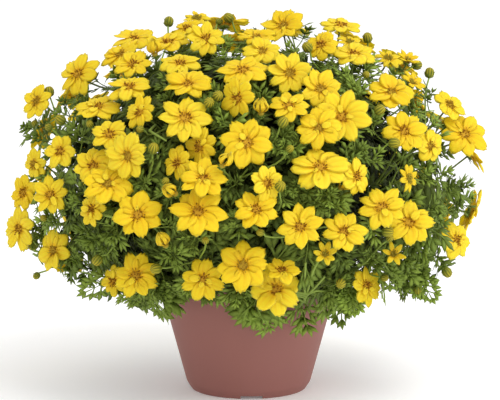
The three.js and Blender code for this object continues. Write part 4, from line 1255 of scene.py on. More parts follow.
def in_pot(points):
    """Whether points lie within or too near the pot or the soil."""
    reach = np.hypot(points[:, 0], points[:, 1])
    low = points[:, 2] < POT.height + THICKET.pot_gap
    outside = reach > POT.rim_radius + THICKET.pot_gap
    inside = (reach < wall_inside(POT.height) - 1) & (points[:, 2] > SOIL.crown + 1)
    return low & ~outside & ~inside


def kept_lobes(points, pattern, petals, outmost):
    """Which lobes of a leaf clear the petals and the pot, with the lobe that carries them."""
    _, pinnae, carriers, _ = pattern
    tips, bases = points[:, 2], points[:, 0]
    bad = in_pot(tips) | (cushion_depth(tips) > outmost) | (tips[:, 2] < THICKET.lowest)
    for i in np.flatnonzero(~bad):
        bad[i] = petals.hit(bases[i], tips[i]) or petals.below(tips[i])
    lost = set(pinnae[bad & carriers])
    return ~bad & ~np.isin(pinnae, list(lost))


def add_leaf(skin, leaf, pattern, rng, petals, tone, least, outmost):
    """A ferny leaf without the lobes that touch petals, or none if too few are left."""
    lobes, pinnae, _, roots = pattern
    wave, lean = rng.normal(0, FINE_LEAF.wave, 2)
    pitch = FINE_LEAF.wave_pitch
    corners = lobes.reshape(-1, 2)
    lift = np.tile(LOBE_LIFT, len(lobes)) * sizes().leaf_thickness / MM / 2
    lift = lift + leaf.length * (wave * np.sin(pitch * corners[:, 0]) + lean * corners[:, 1])
    points = bent_leaf(leaf, np.column_stack([corners, lift])).reshape(-1, LOBE_CORNERS, 3)
    kept = kept_lobes(points, pattern, petals, outmost)
    n = int(kept.sum())
    if not n or len(set(pinnae[kept])) < least:
        return False
    points = points[kept].reshape(-1, 3)
    faces = (LOBE_FACES[None] + LOBE_CORNERS * np.arange(n)[:, None, None]).reshape(-1, 3)
    flat = lobes[kept].reshape(-1, 2)
    marks = {"along": flat[:, 0], "across": np.tile(LOBE_ACROSS, n), "tone": tone}
    skin.add(points, faces, 1, flat, np.tile(LOBE_SIDES, n), depth=depth_mark(points), **marks)
    last = roots[pinnae[kept]].max()
    if last > 0:
        before, past = FINE_LEAF.rib_past
        shares = np.linspace(before, last + past, FINE_LEAF.rib_steps)
        run = bent_leaf(leaf, [(x, 0, leaf.length * wave * sin(pitch * x)) for x in shares])
        radii = np.linspace(FINE_LEAF.rib, FINE_LEAF.rib * FINE_LEAF.rib_taper, len(run))
        add_tube(skin, run, radii, FINE_LEAF.rib_sides, tone=tone)
    return True


def grow_leaves(skin, controls, shares, seed, petals):
    """Opposite pairs of leaves along a stalk, each pair a quarter turn from the last."""
    rng = np.random.default_rng(seed)
    for k, share in enumerate(shares):
        root, ahead = on_curve(controls, (share, share + THICKET.ahead))
        aim = unit(ahead - root)
        if aim @ (root - HEART) < 0:
            aim = -aim
        u, v, _ = frame_about(aim)
        turn = rng.uniform(0, pi) + k * pi / 2
        face = unit(cushion_normal(root) + aim * THICKET.face_aim + UP * THICKET.face_up)
        outmost = THICKET.outmost - THICKET.airy * (max(root[0], 0) / CUSHION.radius) ** 2
        for side in (0, pi):
            for _ in range(THICKET.tries):
                angle = turn + side + rng.uniform(*THICKET.turn_sway)
                spread = radians(between(THICKET.spread, rng.uniform()))
                run = unit(swing(spread, aim, swing(angle, u, v)))
                leaf = leaf_at(root, run, face, between(THICKET.length, rng.uniform()), THICKET)
                pattern = leaf_pattern(int(rng.integers(FINE_LEAF.kinds)))
                tone, least = rng.uniform(*THICKET.tone), THICKET.kept_pinnae
                if add_leaf(skin, leaf, pattern, rng, petals, tone, least, outmost):
                    break


def add_heart_leaves(skin, stem, petals):
    """Short dense leaves round a stem's knee, in the plant's shade, which their depth mark paints dark."""
    rng = np.random.default_rng(SEED.heart_leaves + stem.index)
    for k in range(sizes().heart_leaves):
        rise = 1 - 2 * (k + 0.5) / sizes().heart_leaves
        flat = sqrt(1 - rise * rise)
        run = vec(flat * cos(k * GOLDEN), flat * sin(k * GOLDEN), rise)
        length = max(stem.core, HEART_LEAF.shortest) * rng.uniform(*HEART_LEAF.length)
        leaf = leaf_at(stem.knee, run, frame_about(run)[1], length, THICKET)
        pattern = leaf_pattern(int(rng.integers(FINE_LEAF.kinds)))
        tone, least = rng.uniform(), HEART_LEAF.kept_pinnae
        add_leaf(skin, leaf, pattern, rng, petals, tone, least, THICKET.outmost)


def holds(plant):
    """Points from which sprigs may grow, and the node of each."""
    carried = [(b.stalk, HOLD.stalk, spray.node) for spray in plant.sprays for b in spray.members]
    carried += [(curve, HOLD.limb, stem.node) for stem in plant.stems for curve, _ in stem.limbs]
    points = np.concatenate([on_curve(controls, shares) for controls, shares, _ in carried])
    nodes = [node for _, shares, node in carried for _ in shares]
    return points, nodes


def place_before_pot(x, y):
    """Where a line of sight comes close to the front of the pot."""
    ray = sight_line(x, y)
    return EYE + ray * first_meeting(EYE[:2], ray[:2], POT.rim_radius + BROAD_FROND.pot_gap)


def sprig_places(petals):
    """The picture's fronds and sprigs, then others spread evenly where no petal is near."""
    places = [place_in_sight(x, y) for x, y in FRONDS]
    places += [place_before_pot(x, y) for x, y in BROAD_FRONDS]
    for x, y in SPRIGS:
        place = place_in_sight(x, y)
        normal = cushion_normal(place)
        facing_us = max(normal @ unit(EYE - place), 0)
        sunk = between((SPRIG.edge_sunk, SPRIG.sunk), min(facing_us * SPRIG.facing_gain, 1))
        places.append(place + sight_line(x, y) * sunk - normal * SPRIG.inset)
    middle = vec(0, 0, CUSHION.level)
    for i in range(SPRIG.places):
        rise = between(SPRIG.rise, (i + 0.5) / SPRIG.places)
        place = cushion_point(i * GOLDEN + SPRIG.first_turn, rise)
        place = middle + (place - middle) * between(SPRIG.depth, trait(i, TRAIT.sprig_depth))
        spacing = SPRIG.spacing * (1 + SPRIG.thinned * max(place[0], 0) / CUSHION.radius)
        if min(span(place, other) for other in places) > spacing:
            places.append(place)
    kinds = [FROND] * len(FRONDS) + [BROAD_FROND] * len(BROAD_FRONDS)
    kinds += [SPRIG] * (len(places) - len(kinds))
    return [
        (place, kind) for place, kind in zip(places, kinds)
        if not petals.near(place, SPRIG.clear) and not petals.below(place)
    ]


def add_sprig(skin, start, place, rng, petals, kind):
    """A thin shoot with a small bright star of leaves, or a longer frond whose fresher green is partly
    painted light.
    """
    sideways = unit(place * vec(1, 1, 0)) + UP * TWIG.hang_rise
    outward = unit(cushion_normal(place) * (1 - kind.hang) + sideways * kind.hang)
    place = start + (place - start) * max(1 - kind.tip / span(start, place), TWIG.shortest)
    aim = unit(outward * (1 - kind.hang) + UP * kind.lift + unit(place - start))
    controls = curve_of(start, unit(place - start), place, aim, vec(0, 0, 0))
    run = on_curve(controls, np.linspace(0, 1, TWIG.steps))
    radii = np.linspace(1, TWIG.taper, TWIG.steps) * kind.stalk
    tone = between(kind.tone, rng.uniform())
    add_tube(skin, run, radii, TWIG.sides, tone=min(tone, 1))
    size = rng.uniform(*TWIG.size_sway) * kind.size
    u, v, _ = frame_about(aim)
    turn = rng.uniform(0, pi)
    for k, (share, spread, scale) in enumerate(kind.pairs):
        share = 1 - (1 - share) * min(kind.run / span(start, place), 1)
        root = on_curve(controls, (share,))[0]
        for side in (0, pi):
            angle = turn + side + k * pi / 2 + rng.uniform(*TWIG.turn_sway)
            tilt = radians(spread + rng.uniform(*TWIG.spread_sway))
            run = unit(swing(tilt, aim, swing(angle, u, v)))
            length = between(kind.length, rng.uniform()) * scale * size
            leaf = leaf_at(root, run, unit(outward + aim * TWIG.face_aim), length, SPRIG_LEAF)
            which = int(rng.integers(SPRIG_LEAF.kinds))
            pattern = leaf_pattern(which) if kind is FROND else sprig_pattern(which)
            shade = max(tone + rng.uniform(*TWIG.tone_sway), 0)
            add_leaf(skin, leaf, pattern, rng, petals, shade, 1, kind.outmost)


def add_shown_stalks(skins, points, depths, nodes):
    """The pale stalks of the picture, each led to its foot from the nearest hold."""
    for places in SHOWN_STALKS:
        run = []
        for x, y in places:
            place = place_in_sight(x, y)
            back = sight_line(x, y) * SHOWN_STALK.back
            run.append(place + back - cushion_normal(place) * SHOWN_STALK.sunk)
        foot = run[0]
        inner = depths < cushion_depth(foot)[0] - HOLD.deeper
        k = int(np.argmin(np.where(inner, np.linalg.norm(points - foot, axis=1), np.inf)))
        skin = skins.setdefault(nodes[k], Skin())
        thick, tone = SHOWN_STALK.radius, SHOWN_STALK.tone
        root = [points[k], (points[k] + foot) / 2, foot]
        add_tube(skin, root, [thick] * 3, tone=tone, depth=SHOWN_STALK.root_depth)
        radii = np.linspace(thick, thick * SHOWN_STALK.taper, len(run))
        add_tube(skin, run, radii, tone=tone, depth=0)


def grow_sprigs(plant, petals):
    """The skin of the sprigs of each node that carries some."""
    points, nodes = holds(plant)
    depths = cushion_depth(points)
    skins = {}
    for i, (place, kind) in enumerate(sprig_places(petals)):
        rng = np.random.default_rng(SEED.sprigs + i)
        gaps = np.linalg.norm(points - place, axis=1)
        fit = (gaps > SPRIG.reach[0]) & (gaps < SPRIG.reach[1])
        fit &= depths < cushion_depth(place)[0] - HOLD.deeper
        for k in np.argsort(np.where(fit, gaps, np.inf))[: SPRIG.anchors]:
            if fit[k] and not petals.hit(points[k], place):
                skin = skins.setdefault(nodes[k], Skin())
                add_sprig(skin, points[k], place, rng, petals, kind)
                break
    add_shown_stalks(skins, points, depths, nodes)
    return skins


def add_bud(skin, controls, size, seed):
    """A barrel-shaped bud of folded petals, with erect bracts, on its thin stalk."""
    rng = np.random.default_rng(seed)
    run = on_curve(controls, np.linspace(0, 1, FINE_BUD.steps))
    seat = run[-1]
    corners = corners_of(controls)
    axes = frame_about(corners[-1] - corners[-2])
    marks = {"tone": rng.uniform(), "depth": mean_depth(seat)}
    radii = np.full(FINE_BUD.steps, sizes().stalk_radius / MM * FINE_BUD.stalk)
    add_tube(skin, run, radii, **marks)
    long, wide = BUD.length * size, BUD.radius * size
    sides = FINE_BUD.sides
    creases = np.arange(sides) % 2
    rings = []
    for share, reach in BUD_RINGS:
        crease = 1 - FINE_BUD.crease * creases * min(share * FINE_BUD.crease_gain, 1)
        rings.append(level_ring((circle(sides).T * wide * reach * crease).T, long * share))
    points = placed(seat, axes, closed(rings, 0, long * BUD_RINGS[-1][0]))
    chart = ring_chart(np.array([share for share, _ in BUD_RINGS]), sides)
    chart[-1, 0] = 1
    marks["along"] = chart[:, 0]
    marks["across"] = np.concatenate([np.tile(creases, len(BUD_RINGS)), [0, 0]])
    skin.add(points, lathe_faces(len(BUD_RINGS), sides), 2, chart, **marks)
    marks = {"tone": FINE_BUD.bract_tone, "depth": marks["depth"]}
    for k in range(CALYX.bracts):
        turn = 2 * pi * (k + rng.uniform(*FINE_BUD.turn_sway)) / CALYX.bracts
        out = swing(turn, *axes[:2])
        base = seat + out * wide * FINE_BUD.bract_root
        tip = seat + out * wide * rng.uniform(*FINE_BUD.bract_out)
        tip = tip + axes[2] * long * rng.uniform(*FINE_BUD.bract_up)
        half = FINE_BUD.bract_half * size
        add_bract(skin, base, tip, np.cross(axes[2], out), half, FINE_BUD.bract_lift, 1, **marks)


def add_stem(skin, stem):
    """A leafy stem from the soil to its knee, with the limbs that leave it there."""
    shares = np.linspace(0, 1, FINE_STEM.steps)
    start = stem.seat + UP * (SOIL.stem_depth - FINE_STEM.buried)
    run = [start, *on_curve(stem.curve, shares)]
    radii = np.linspace(1, FINE_STEM.taper, len(run)) * sizes().stem_radius / MM
    tone = trait(stem.index, TRAIT.stem_tone)
    add_tube(skin, run, radii, FINE_STEM.sides, tone=tone, depth=FINE_STEM.depth)
    for k, (controls, radius) in enumerate(stem.limbs):
        run = on_curve(controls, shares)
        scale = radius / STEM.branch * sizes().branch_radius / MM
        radii = np.linspace(*FINE_STEM.limb_radii, len(run)) * scale
        tone = trait(k, TRAIT.limb_tone)
        add_tube(skin, run, radii, tone=tone)


# Pot and soil.

TAPER = (POT.rim_radius - POT.foot_radius) / (POT.height - POT.corner_height)
FLOOR_TOP = POT.foot_height + POT.wall
# Corners of the pot's profile that are rounded, and the radius of each. The last one comes first,
# because rounding a corner adds points and so moves the numbers of those after it.
POT_ROUNDS = ((9, 2), (8, 0.6), (7, POT.lip_round), (6, 0.7), (5, 0.6), (4, 10), (3, 1.5))
POT_SKIN = SimpleNamespace(notch_cut=12, drain_sides=24, smooth_below=35)
CRUMBS = SimpleNamespace(sides=96, rings=26, at_edge=0.3)


def wall_outside(z):
    return POT.foot_radius + (z - POT.corner_height) * TAPER - POT.rim_step


def wall_inside(z):
    return wall_outside(z) - POT.wall


def rounded(profile, corner, radius, steps=5):
    """A profile with one of its corners rounded to a radius."""
    before, at, after = (vec(*profile[corner + k]) for k in (-1, 0, 1))
    to_before, to_after = unit(before - at), unit(after - at)
    half = acos(np.clip(to_before @ to_after, -1, 1)) / 2
    reach = radius / tan(half)
    middle = at + unit(to_before + to_after) * radius / sin(half)
    first, last = at + to_before * reach - middle, at + to_after * reach - middle
    arc = []
    for k in range(steps + 1):
        share = k / steps
        arc.append(tuple(middle + unit(first * (1 - share) + last * share) * radius))
    return profile[:corner] + arc + profile[corner + 1 :]


def pot_profile():
    """Radii and heights from the middle of the underside out, up and down inside."""
    ring_in, ring_out = POT.foot_ring
    band = POT.height - POT.rim_band
    step = POT.rim_step
    profile = [
        (0, POT.foot_height), (ring_in, POT.foot_height), (ring_in, 0), (ring_out, 0),
        (wall_outside(POT.corner_height), POT.corner_height), (wall_outside(band), band),
        (wall_outside(band) + step, band + step), (POT.rim_radius, POT.height),
        (wall_inside(POT.height), POT.height), (wall_inside(FLOOR_TOP), FLOOR_TOP), (0, FLOOR_TOP),
    ]
    for corner, radius in POT_ROUNDS:
        profile = rounded(profile, corner, radius)
    return profile


def block_at(centre, size, turn):
    """A temporary block for a cut, turned about the upright axis."""
    bpy.ops.mesh.primitive_cube_add(size=1)
    block = bpy.context.object
    block.scale = Vector(size) * MM
    block.rotation_euler = (0, 0, turn)
    block.location = Vector(centre) * MM
    return block


def cut_away(piece, cutters):
    """Cuts blocks out of a piece and removes them."""
    for cutter in cutters:
        change = piece.modifiers.new("cut", "BOOLEAN")
        change.operation = "DIFFERENCE"
        change.solver = "EXACT"
        change.object = cutter
        bpy.context.view_layer.objects.active = piece
        bpy.ops.object.modifier_apply(modifier=change.name)
        bpy.data.objects.remove(cutter)


def pot_piece():
    """The pot, with the notches of its foot ring and the drain holes cut out."""
    skin = Skin()
    add_lathe(skin, vec(0, 0, 0), np.eye(3), pot_profile()[1:-1], sizes().pot_facets, 0)
    piece = skin.build("flower_pot", [pot_finish()], mapped=False)
    ring = sum(POT.foot_ring) / 2
    cutters = []
    for i in range(POT.notches):
        turn = radians(POT.notch_turn) + 2 * pi * i / POT.notches
        centre = (ring * sin(turn), -ring * cos(turn), 0)
        size = (POT.notch_width, POT_SKIN.notch_cut, 2 * POT.notch_height)
        cutters.append(block_at(centre, size, turn))
    for i in range(POT.drains):
        turn = 2 * pi * (i + 0.5) / POT.drains
        bpy.ops.mesh.primitive_cylinder_add(
            vertices=POT_SKIN.drain_sides, radius=POT.drain_radius * MM, depth=FLOOR_TOP * 2 * MM
        )
        drain = bpy.context.object
        reach = POT.drain_circle * MM
        drain.location = (reach * cos(turn), reach * sin(turn), POT.foot_height * MM)
        cutters.append(drain)
    cut_away(piece, cutters)
    piece.data.shade_smooth()
    piece.data.set_sharp_from_angle(angle=radians(POT_SKIN.smooth_below))
    return piece


def soil_piece():
    """The mound of soil with its crumbs, closed below by its side and floor."""
    rng = np.random.default_rng(SEED.soil)
    sides, gap = CRUMBS.sides, SOIL.clearance
    edge = wall_inside(SOIL.edge) - gap
    low = FLOOR_TOP + gap
    rings = [level_ring(circle(sides) * (wall_inside(low) - gap), low)]
    for k in range(CRUMBS.rings):
        share = 1 - k / CRUMBS.rings
        rise = min((1 - share) / (1 - SOIL.crown_share), 1)
        crumb = rng.normal(0, sizes().crumb_height / MM, sides) * (1 if k else CRUMBS.at_edge)
        height = SOIL.edge + (SOIL.crown - SOIL.edge) * rise + crumb
        rings.append(level_ring(circle(sides) * edge * share, height))
    points = closed(rings, low, SOIL.crown)
    faces = lathe_faces(len(rings), sides)
    skin = Skin()
    skin.add(points, faces, 0, points[:, :2], tone=rng.uniform(0, 1, len(points)))
    return skin.build("potting_soil", [soil_finish()], mapped=False)


# Finishes.


class Value:
    """A value that varies over a surface. An expression on it adds its Math nodes."""

    def __init__(self, finish, socket):
        self.finish = finish
        self.socket = socket

    def math(self, operation, *terms, clamp=False):
        settings = {"operation": operation, "use_clamp": clamp}
        return self.finish.node("ShaderNodeMath", settings, dict(enumerate(terms or [self])))

    def __add__(self, other):
        return self.math("ADD", self, other)

    def __sub__(self, other):
        return self.math("SUBTRACT", self, other)

    def __rsub__(self, other):
        return self.math("SUBTRACT", other, self)

    def __mul__(self, other):
        return self.math("MULTIPLY", self, other)

    def __truediv__(self, other):
        return self.math("DIVIDE", self, other)

    def __pow__(self, other):
        return self.math("POWER", self, other)

    __radd__ = __add__
    __rmul__ = __mul__

    def clamped(self):
        return self.math("ADD", self, 0, clamp=True)


# Sockets of the Mix node that take and give colours.
MIX_FACTOR, MIX_FIRST, MIX_SECOND, MIX_RESULT = 0, 6, 7, 2


class Finish:
    """A material whose pattern comes from the marks of its piece."""

    def __init__(self, name):
        self.material = bpy.data.materials.new(name)
        self.material.use_nodes = True
        self.tree = self.material.node_tree
        self.shader = next(n for n in self.tree.nodes if n.type == "BSDF_PRINCIPLED")

    def plug(self, slot, source):
        """Links a varying value to a socket, or sets it to a number or a colour."""
        if isinstance(source, Value):
            self.tree.links.new(source.socket, slot)
        else:
            slot.default_value = source

    def node(self, kind, settings, inputs, output=0):
        """Adds a node by its type, its settings and the values or links of its sockets."""
        node = self.tree.nodes.new(kind)
        for key, value in settings.items():
            setattr(node, key, value)
        for key, source in inputs.items():
            self.plug(node.inputs[key], source)
        return Value(self, node.outputs[output])

    def mark(self, name):
        return self.node("ShaderNodeAttribute", {"attribute_name": name}, {}, "Fac")

    def noise(self, scale, detail=2):
        place = self.node("ShaderNodeTexCoord", {}, {}, "Object")
        inputs = {"Vector": place, "Scale": scale, "Detail": detail}
        return self.node("ShaderNodeTexNoise", {}, inputs)

    def mix(self, factor, *colours):
        first, second = (c if isinstance(c, Value) else (*c, 1) for c in colours)
        inputs = {MIX_FACTOR: factor, MIX_FIRST: first, MIX_SECOND: second}
        return self.node("ShaderNodeMix", {"data_type": "RGBA"}, inputs, MIX_RESULT)

    def bump(self, height, distance):
        return self.node("ShaderNodeBump", {}, {"Height": height, "Distance": distance, "Strength": 1})

    def set(self, **inputs):
        """Sets sockets of the shader, named with _ for each space."""
        for key, source in inputs.items():
            self.plug(self.shader.inputs[key.replace("_", " ")], source)


def colours():
    return bpy.context.scene.beggarticks_colours


def sizes():
    return bpy.context.scene.beggarticks_sizes


def shaded(finish, colour, amount):
    """Painted shade: a colour darkened towards black with depth in the plant."""
    deep = finish.mark("depth")
    return finish.mix((deep * amount).clamped(), colour, (0.0, 0.0, 0.0))


# How strongly the marks show on a petal and on a leaf, and where they end.
# On a petal, the lines in the grooves, the orange base and the darkening with depth are painted shade; the
# glow is a painted glow.
PETAL_LOOK = SimpleNamespace(
    lines=0.45, line_power=3, line_fade=0.6, rim_power=4, streaks=0.2, streak_pitch=24, streak_shift=9,
    base=0.75, base_end=0.34, base_power=1.3, shade=0.25, painted_glow=0.14,
)
LEAF_LOOK = SimpleNamespace(tone=0.85, patches=0.5, patch_offset=0.22, rib=0.35, rib_half=0.3, rib_edge=1.6)


@cache
def petal_finish():
    """Yellow with two soft orange lines of painted shade along the grooves, an orange base of painted
    shade, painted shade with depth and a painted glow.
    """
    c = colours()
    finish = Finish("petal")
    along, across, tone = (finish.mark(name) for name in ("along", "across", "tone"))
    look = PETAL_LOOK
    # Painted shade: orange lines in the hollows of the two grooves and an orange base by the disc. The fine
    # streaks are the petal's own.
    wave = (across * (RELIEF.waves * pi)).math("COSINE")
    line = (0.5 - wave * 0.5) ** look.line_power * (1 - across.math("ABSOLUTE") ** look.rim_power)
    line = line * (1 - along) ** look.line_fade
    streak = (across * look.streak_pitch + tone * look.streak_shift).math("SINE")
    streak = (streak * 0.5 + 0.5) * (1 - along)
    base = ((look.base_end - along) / look.base_end).clamped() ** look.base_power
    colour = finish.mix(tone, c.petal, c.petal_light)
    colour = finish.mix((line * look.lines + streak * look.streaks).clamped(), colour, c.petal_streak_and_shade)
    colour = finish.mix((base * look.base).clamped(), colour, c.petal_streak_and_shade)
    colour = shaded(finish, colour, look.shade)
    finish.set(Base_Color=colour, Roughness=0.6, Specular_IOR_Level=0.12)
    # Painted glow: the petals give off light in their own colour, which lifts their shaded sides.
    finish.set(Emission_Color=colour, Emission_Strength=look.painted_glow)
    finish.set(Subsurface_Weight=0.4, Subsurface_Radius=(1.0, 0.8, 0.2), Subsurface_Scale=0.003)
    finish.set(Normal=finish.bump(streak, 0.0001))
    return finish.material


@cache
def disc_finish():
    """Gold or olive, with brown tips on the ripe florets, darkened with painted shade by depth in the
    plant.
    """
    c = colours()
    finish = Finish("disc")
    along, across, tone = (finish.mark(name) for name in ("along", "across", "tone"))
    ripe = (along * 1.6 + 0.2).clamped() * tone
    colour = finish.mix(across, c.disc, c.disc_green)
    colour = finish.mix(ripe, colour, c.floret_tip)
    finish.set(Base_Color=shaded(finish, colour, 0.3), Roughness=0.8, Specular_IOR_Level=0.08)
    return finish.material


@cache
def leaf_finish():
    """Dark to bright green in soft patches, with a paler middle along each lobe, fresh green that is partly
    painted light, and painted shade that turns deep leaves near black.
    """
    c = colours()
    finish = Finish("leaf")
    across, tone = finish.mark("across"), finish.mark("tone")
    look = LEAF_LOOK
    blend = (tone * look.tone + finish.noise(28) * look.patches - look.patch_offset).clamped()
    rib = ((look.rib_half - across) * look.rib_edge).clamped() * look.rib
    colour = finish.mix(blend, c.leaf_dark, c.leaf)
    # Tones above 1 mix in the fresh green: young leaves, and painted light on the low fronds.
    colour = finish.mix((tone - 1).clamped(), colour, c.leaf_fresh_and_lit)
    colour = finish.mix(rib, colour, c.leaf_rib)
    # Painted shade: deep leaves darken nearly to black.
    finish.set(Base_Color=shaded(finish, colour, 0.92), Roughness=0.6, Specular_IOR_Level=0.15)
    finish.set(Normal=finish.bump(finish.noise(900), 0.0001))
    return finish.material


@cache
def stalk_finish():
    """Pale to mid green, darkened with painted shade by depth in the plant."""
    c = colours()
    finish = Finish("stalk")
    colour = finish.mix(finish.mark("tone"), c.stalk, c.leaf)
    finish.set(Base_Color=shaded(finish, colour, 0.75), Roughness=0.6, Specular_IOR_Level=0.15)
    return finish.material


@cache
def bud_finish():
    """Green to yellow-green, with darker lines between the folded petals, darkened with painted shade by
    depth in the plant.
    """
    c = colours()
    finish = Finish("bud")
    along, across = finish.mark("along"), finish.mark("across")
    stripe = (across * 1.8 - 0.35).clamped()
    colour = finish.mix((along * 1.2).clamped(), c.bud, c.bud_tip)
    colour = finish.mix(stripe * 0.9, colour, c.bud_line)
    finish.set(Base_Color=shaded(finish, colour, 0.5), Roughness=0.65, Specular_IOR_Level=0.15)
    return finish.material


@cache
def pot_finish():
    """Dusky terracotta plastic with a fine grain."""
    c = colours()
    finish = Finish("pot")
    colour = finish.mix(finish.noise(14), c.pot, c.pot_dusk)
    fine = finish.noise(2500, 3)
    finish.set(Base_Color=colour, Roughness=0.62, Normal=finish.bump(fine, 0.00006))
    finish.set(Specular_IOR_Level=0.35)
    return finish.material


@cache
def soil_finish():
    """Dark brown with lighter crumbs."""
    c = colours()
    finish = Finish("soil")
    colour = finish.mix(finish.mark("tone"), c.soil, c.soil_light)
    finish.set(Base_Color=colour, Roughness=0.95, Normal=finish.bump(finish.noise(600, 4), 0.001))
    return finish.material


# Settings that a user would change.


def number_field(name, description, default, **more):
    return bpy.props.FloatProperty(name=name, description=description, default=default, **more)


def count_field(name, description, default, low, high):
    return bpy.props.IntProperty(name=name, description=description, default=default, min=low, max=high)


def size_field(name, description, default):
    return number_field(name, description, default, min=0, subtype="DISTANCE", unit="LENGTH", precision=5)


def angle_field(name, description, degrees):
    return number_field(name, description, radians(degrees), subtype="ANGLE", unit="ROTATION")


def power_field(name, description, default):
    return number_field(name, description, default, min=0, unit="POWER")


def colour_field(name, description, default):
    return bpy.props.FloatVectorProperty(
        name=name, description=description, default=default, size=3, min=0, max=1, subtype="COLOR"
    )


class BeggarticksSizes(bpy.types.PropertyGroup):
    petal_breadth: number_field(
        "Petal breadth", "Width of a petal over that at which petals touch", 1.0, min=0.3, max=1.6
    )
    overlap: number_field(
        "Petal overlap", "Slope across a petal, which lifts one edge over the next", 0.09, min=-0.5, max=0.5
    )
    petal_thickness: size_field("Petal thickness", "Thickness in the middle of a petal", 0.00034)
    groove: size_field("Groove", "Depth of the two long grooves of a petal", 0.00036)
    florets: count_field("Florets", "Number of florets on a disc", 32, 0, 60)
    floret_radius: size_field("Floret radius", "Radius of a floret", 0.00048)
    stalk_radius: size_field("Stalk radius", "Radius of a bloom's stalk", 0.00075)
    branch_radius: size_field("Branch radius", "Radius of a branch", 0.00115)
    stem_radius: size_field("Stem radius", "Radius of a stem at the soil", 0.0022)
    leaf_thickness: size_field("Leaf thickness", "Thickness in the middle of a leaf's lobe", 0.00055)
    heart_leaves: count_field("Heart leaves", "Leaves in the shade round each stem's knee", 9, 0, 60)
    crumb_height: size_field("Crumb height", "Usual height of a crumb of soil", 0.0007)
    pot_facets: count_field("Pot facets", "Number of facets round the pot", 128, 24, 256)


class BeggarticksColours(bpy.types.PropertyGroup):
    petal: colour_field("Petal", "Deeper yellow of the petals", (0.70, 0.458, 0.012))
    petal_light: colour_field("Petal, light", "Lighter yellow of the petals", (0.715, 0.525, 0.024))
    # Orange of the petal's own fine streaks, and of the painted shade along its grooves and at its base.
    petal_streak_and_shade: colour_field("Petal base", "Orange of a petal's base and veins", (0.70, 0.32, 0.008))
    disc: colour_field("Disc", "Gold of a disc", (0.68, 0.40, 0.03))
    disc_green: colour_field("Disc, green", "Olive of a young disc", (0.36, 0.30, 0.03))
    floret_tip: colour_field("Floret tip", "Brown of the ripe florets", (0.19, 0.062, 0.006))
    leaf: colour_field("Leaf", "Lighter green of the leaves", (0.22, 0.305, 0.041))
    leaf_dark: colour_field("Leaf, dark", "Darker green of the leaves", (0.06, 0.095, 0.013))
    # Bright green of the youngest leaves, which is also painted light on the low fronds that the plant
    # shades.
    leaf_fresh_and_lit: colour_field("Leaf, fresh", "Bright green of the youngest leaves", (0.27, 0.40, 0.058))
    leaf_rib: colour_field("Leaf rib", "Pale green along a lobe's middle", (0.24, 0.30, 0.08))
    stalk: colour_field("Stalk", "Pale green of the stalks", (0.22, 0.30, 0.055))
    bud: colour_field("Bud", "Green of a bud's lower part", (0.17, 0.21, 0.02))
    bud_tip: colour_field("Bud tip", "Yellow-green of a bud's upper part", (0.46, 0.36, 0.02))
    bud_line: colour_field("Bud line", "Dark line between a bud's folded petals", (0.11, 0.12, 0.012))
    pot: colour_field("Pot", "Dusky terracotta of the pot", (0.305, 0.12, 0.096))
    pot_dusk: colour_field("Pot, dusk", "Greyer parts of the pot", (0.272, 0.11, 0.096))
    soil: colour_field("Soil", "Dark brown of the soil", (0.020, 0.013, 0.008))
    soil_light: colour_field("Soil, light", "Lighter crumbs of the soil", (0.07, 0.045, 0.03))
    floor: colour_field("Floor", "Pale floor", (0.96, 0.96, 0.96))
    sky: colour_field("Sky", "Colour of the surroundings", (1.0, 1.0, 1.0))


class BeggarticksLight(bpy.types.PropertyGroup):
    key_power: power_field("Key power", "Power of the large light at the upper right", 26.3)
    key_size: size_field("Key size", "Width of each light", 1.4)
    key_turn: angle_field("Key turn", "Turn of the large light from the viewer to the right", 38)
    key_rise: angle_field("Key rise", "Height of the large light above the horizon", 50)
    side_power: power_field("Side power", "Power of the low light at the right", 12)
    side_turn: angle_field("Side turn", "Turn of the low light from the viewer to the right", 68)
    side_rise: angle_field("Side rise", "Height of the low light above the horizon", 14)
    sky_strength: number_field("Sky strength", "Strength of the surroundings", 0.98, min=0)


# One operator for each group of like pieces, and one for the stage.

STAGE = SimpleNamespace(floor=24, key_distance=2.4, sensor=36)


@cache
def grown():
    """The skins of all blooms, made once, and the petals that leaves and buds clear."""
    skins, shown = {}, Skin()
    for spray in find_plant().sprays:
        skin = Skin()
        for bloom in spray.members:
            # The bloom's depth in the plant, for the painted shade of its petals and disc.
            bloom.depth = mean_depth(bloom.centre)
            add_petals(skin, bloom)
            if bloom.index < len(FRONT_BLOOMS):
                add_petals(shown, bloom)
            add_disc(skin, bloom)
        skins[spray.node] = skin
    return skins, Petals(list(skins.values()), [shown])


class BEGGARTICKS_OT_blooms(bpy.types.Operator):
    """Adds the petals and discs of every spray"""

    bl_idname = "beggarticks.blooms"
    bl_label = "Blooms"

    def execute(self, context):
        skins, _ = grown()
        for node, skin in skins.items():
            name = node.replace("bloom_spray", "blooms")
            keep(skin.build(name, [petal_finish(), disc_finish()]), "petals", node)
        return {"FINISHED"}


class BEGGARTICKS_OT_stalks(bpy.types.Operator):
    """Adds the stalks, calyxes and leaves of every spray"""

    bl_idname = "beggarticks.stalks"
    bl_label = "Stalks"

    def execute(self, context):
        _, petals = grown()
        for spray in find_plant().sprays:
            skin = Skin()
            add_stalks(skin, spray)
            for bloom in spray.members:
                seed = SEED.stalk_leaves + bloom.index
                grow_leaves(skin, bloom.stalk, THICKET.stalk_shares, seed, petals)
            name = spray.node.replace("bloom_spray", "stalks")
            keep(skin.build(name, [stalk_finish(), leaf_finish()]), "foliage", spray.node)
        return {"FINISHED"}


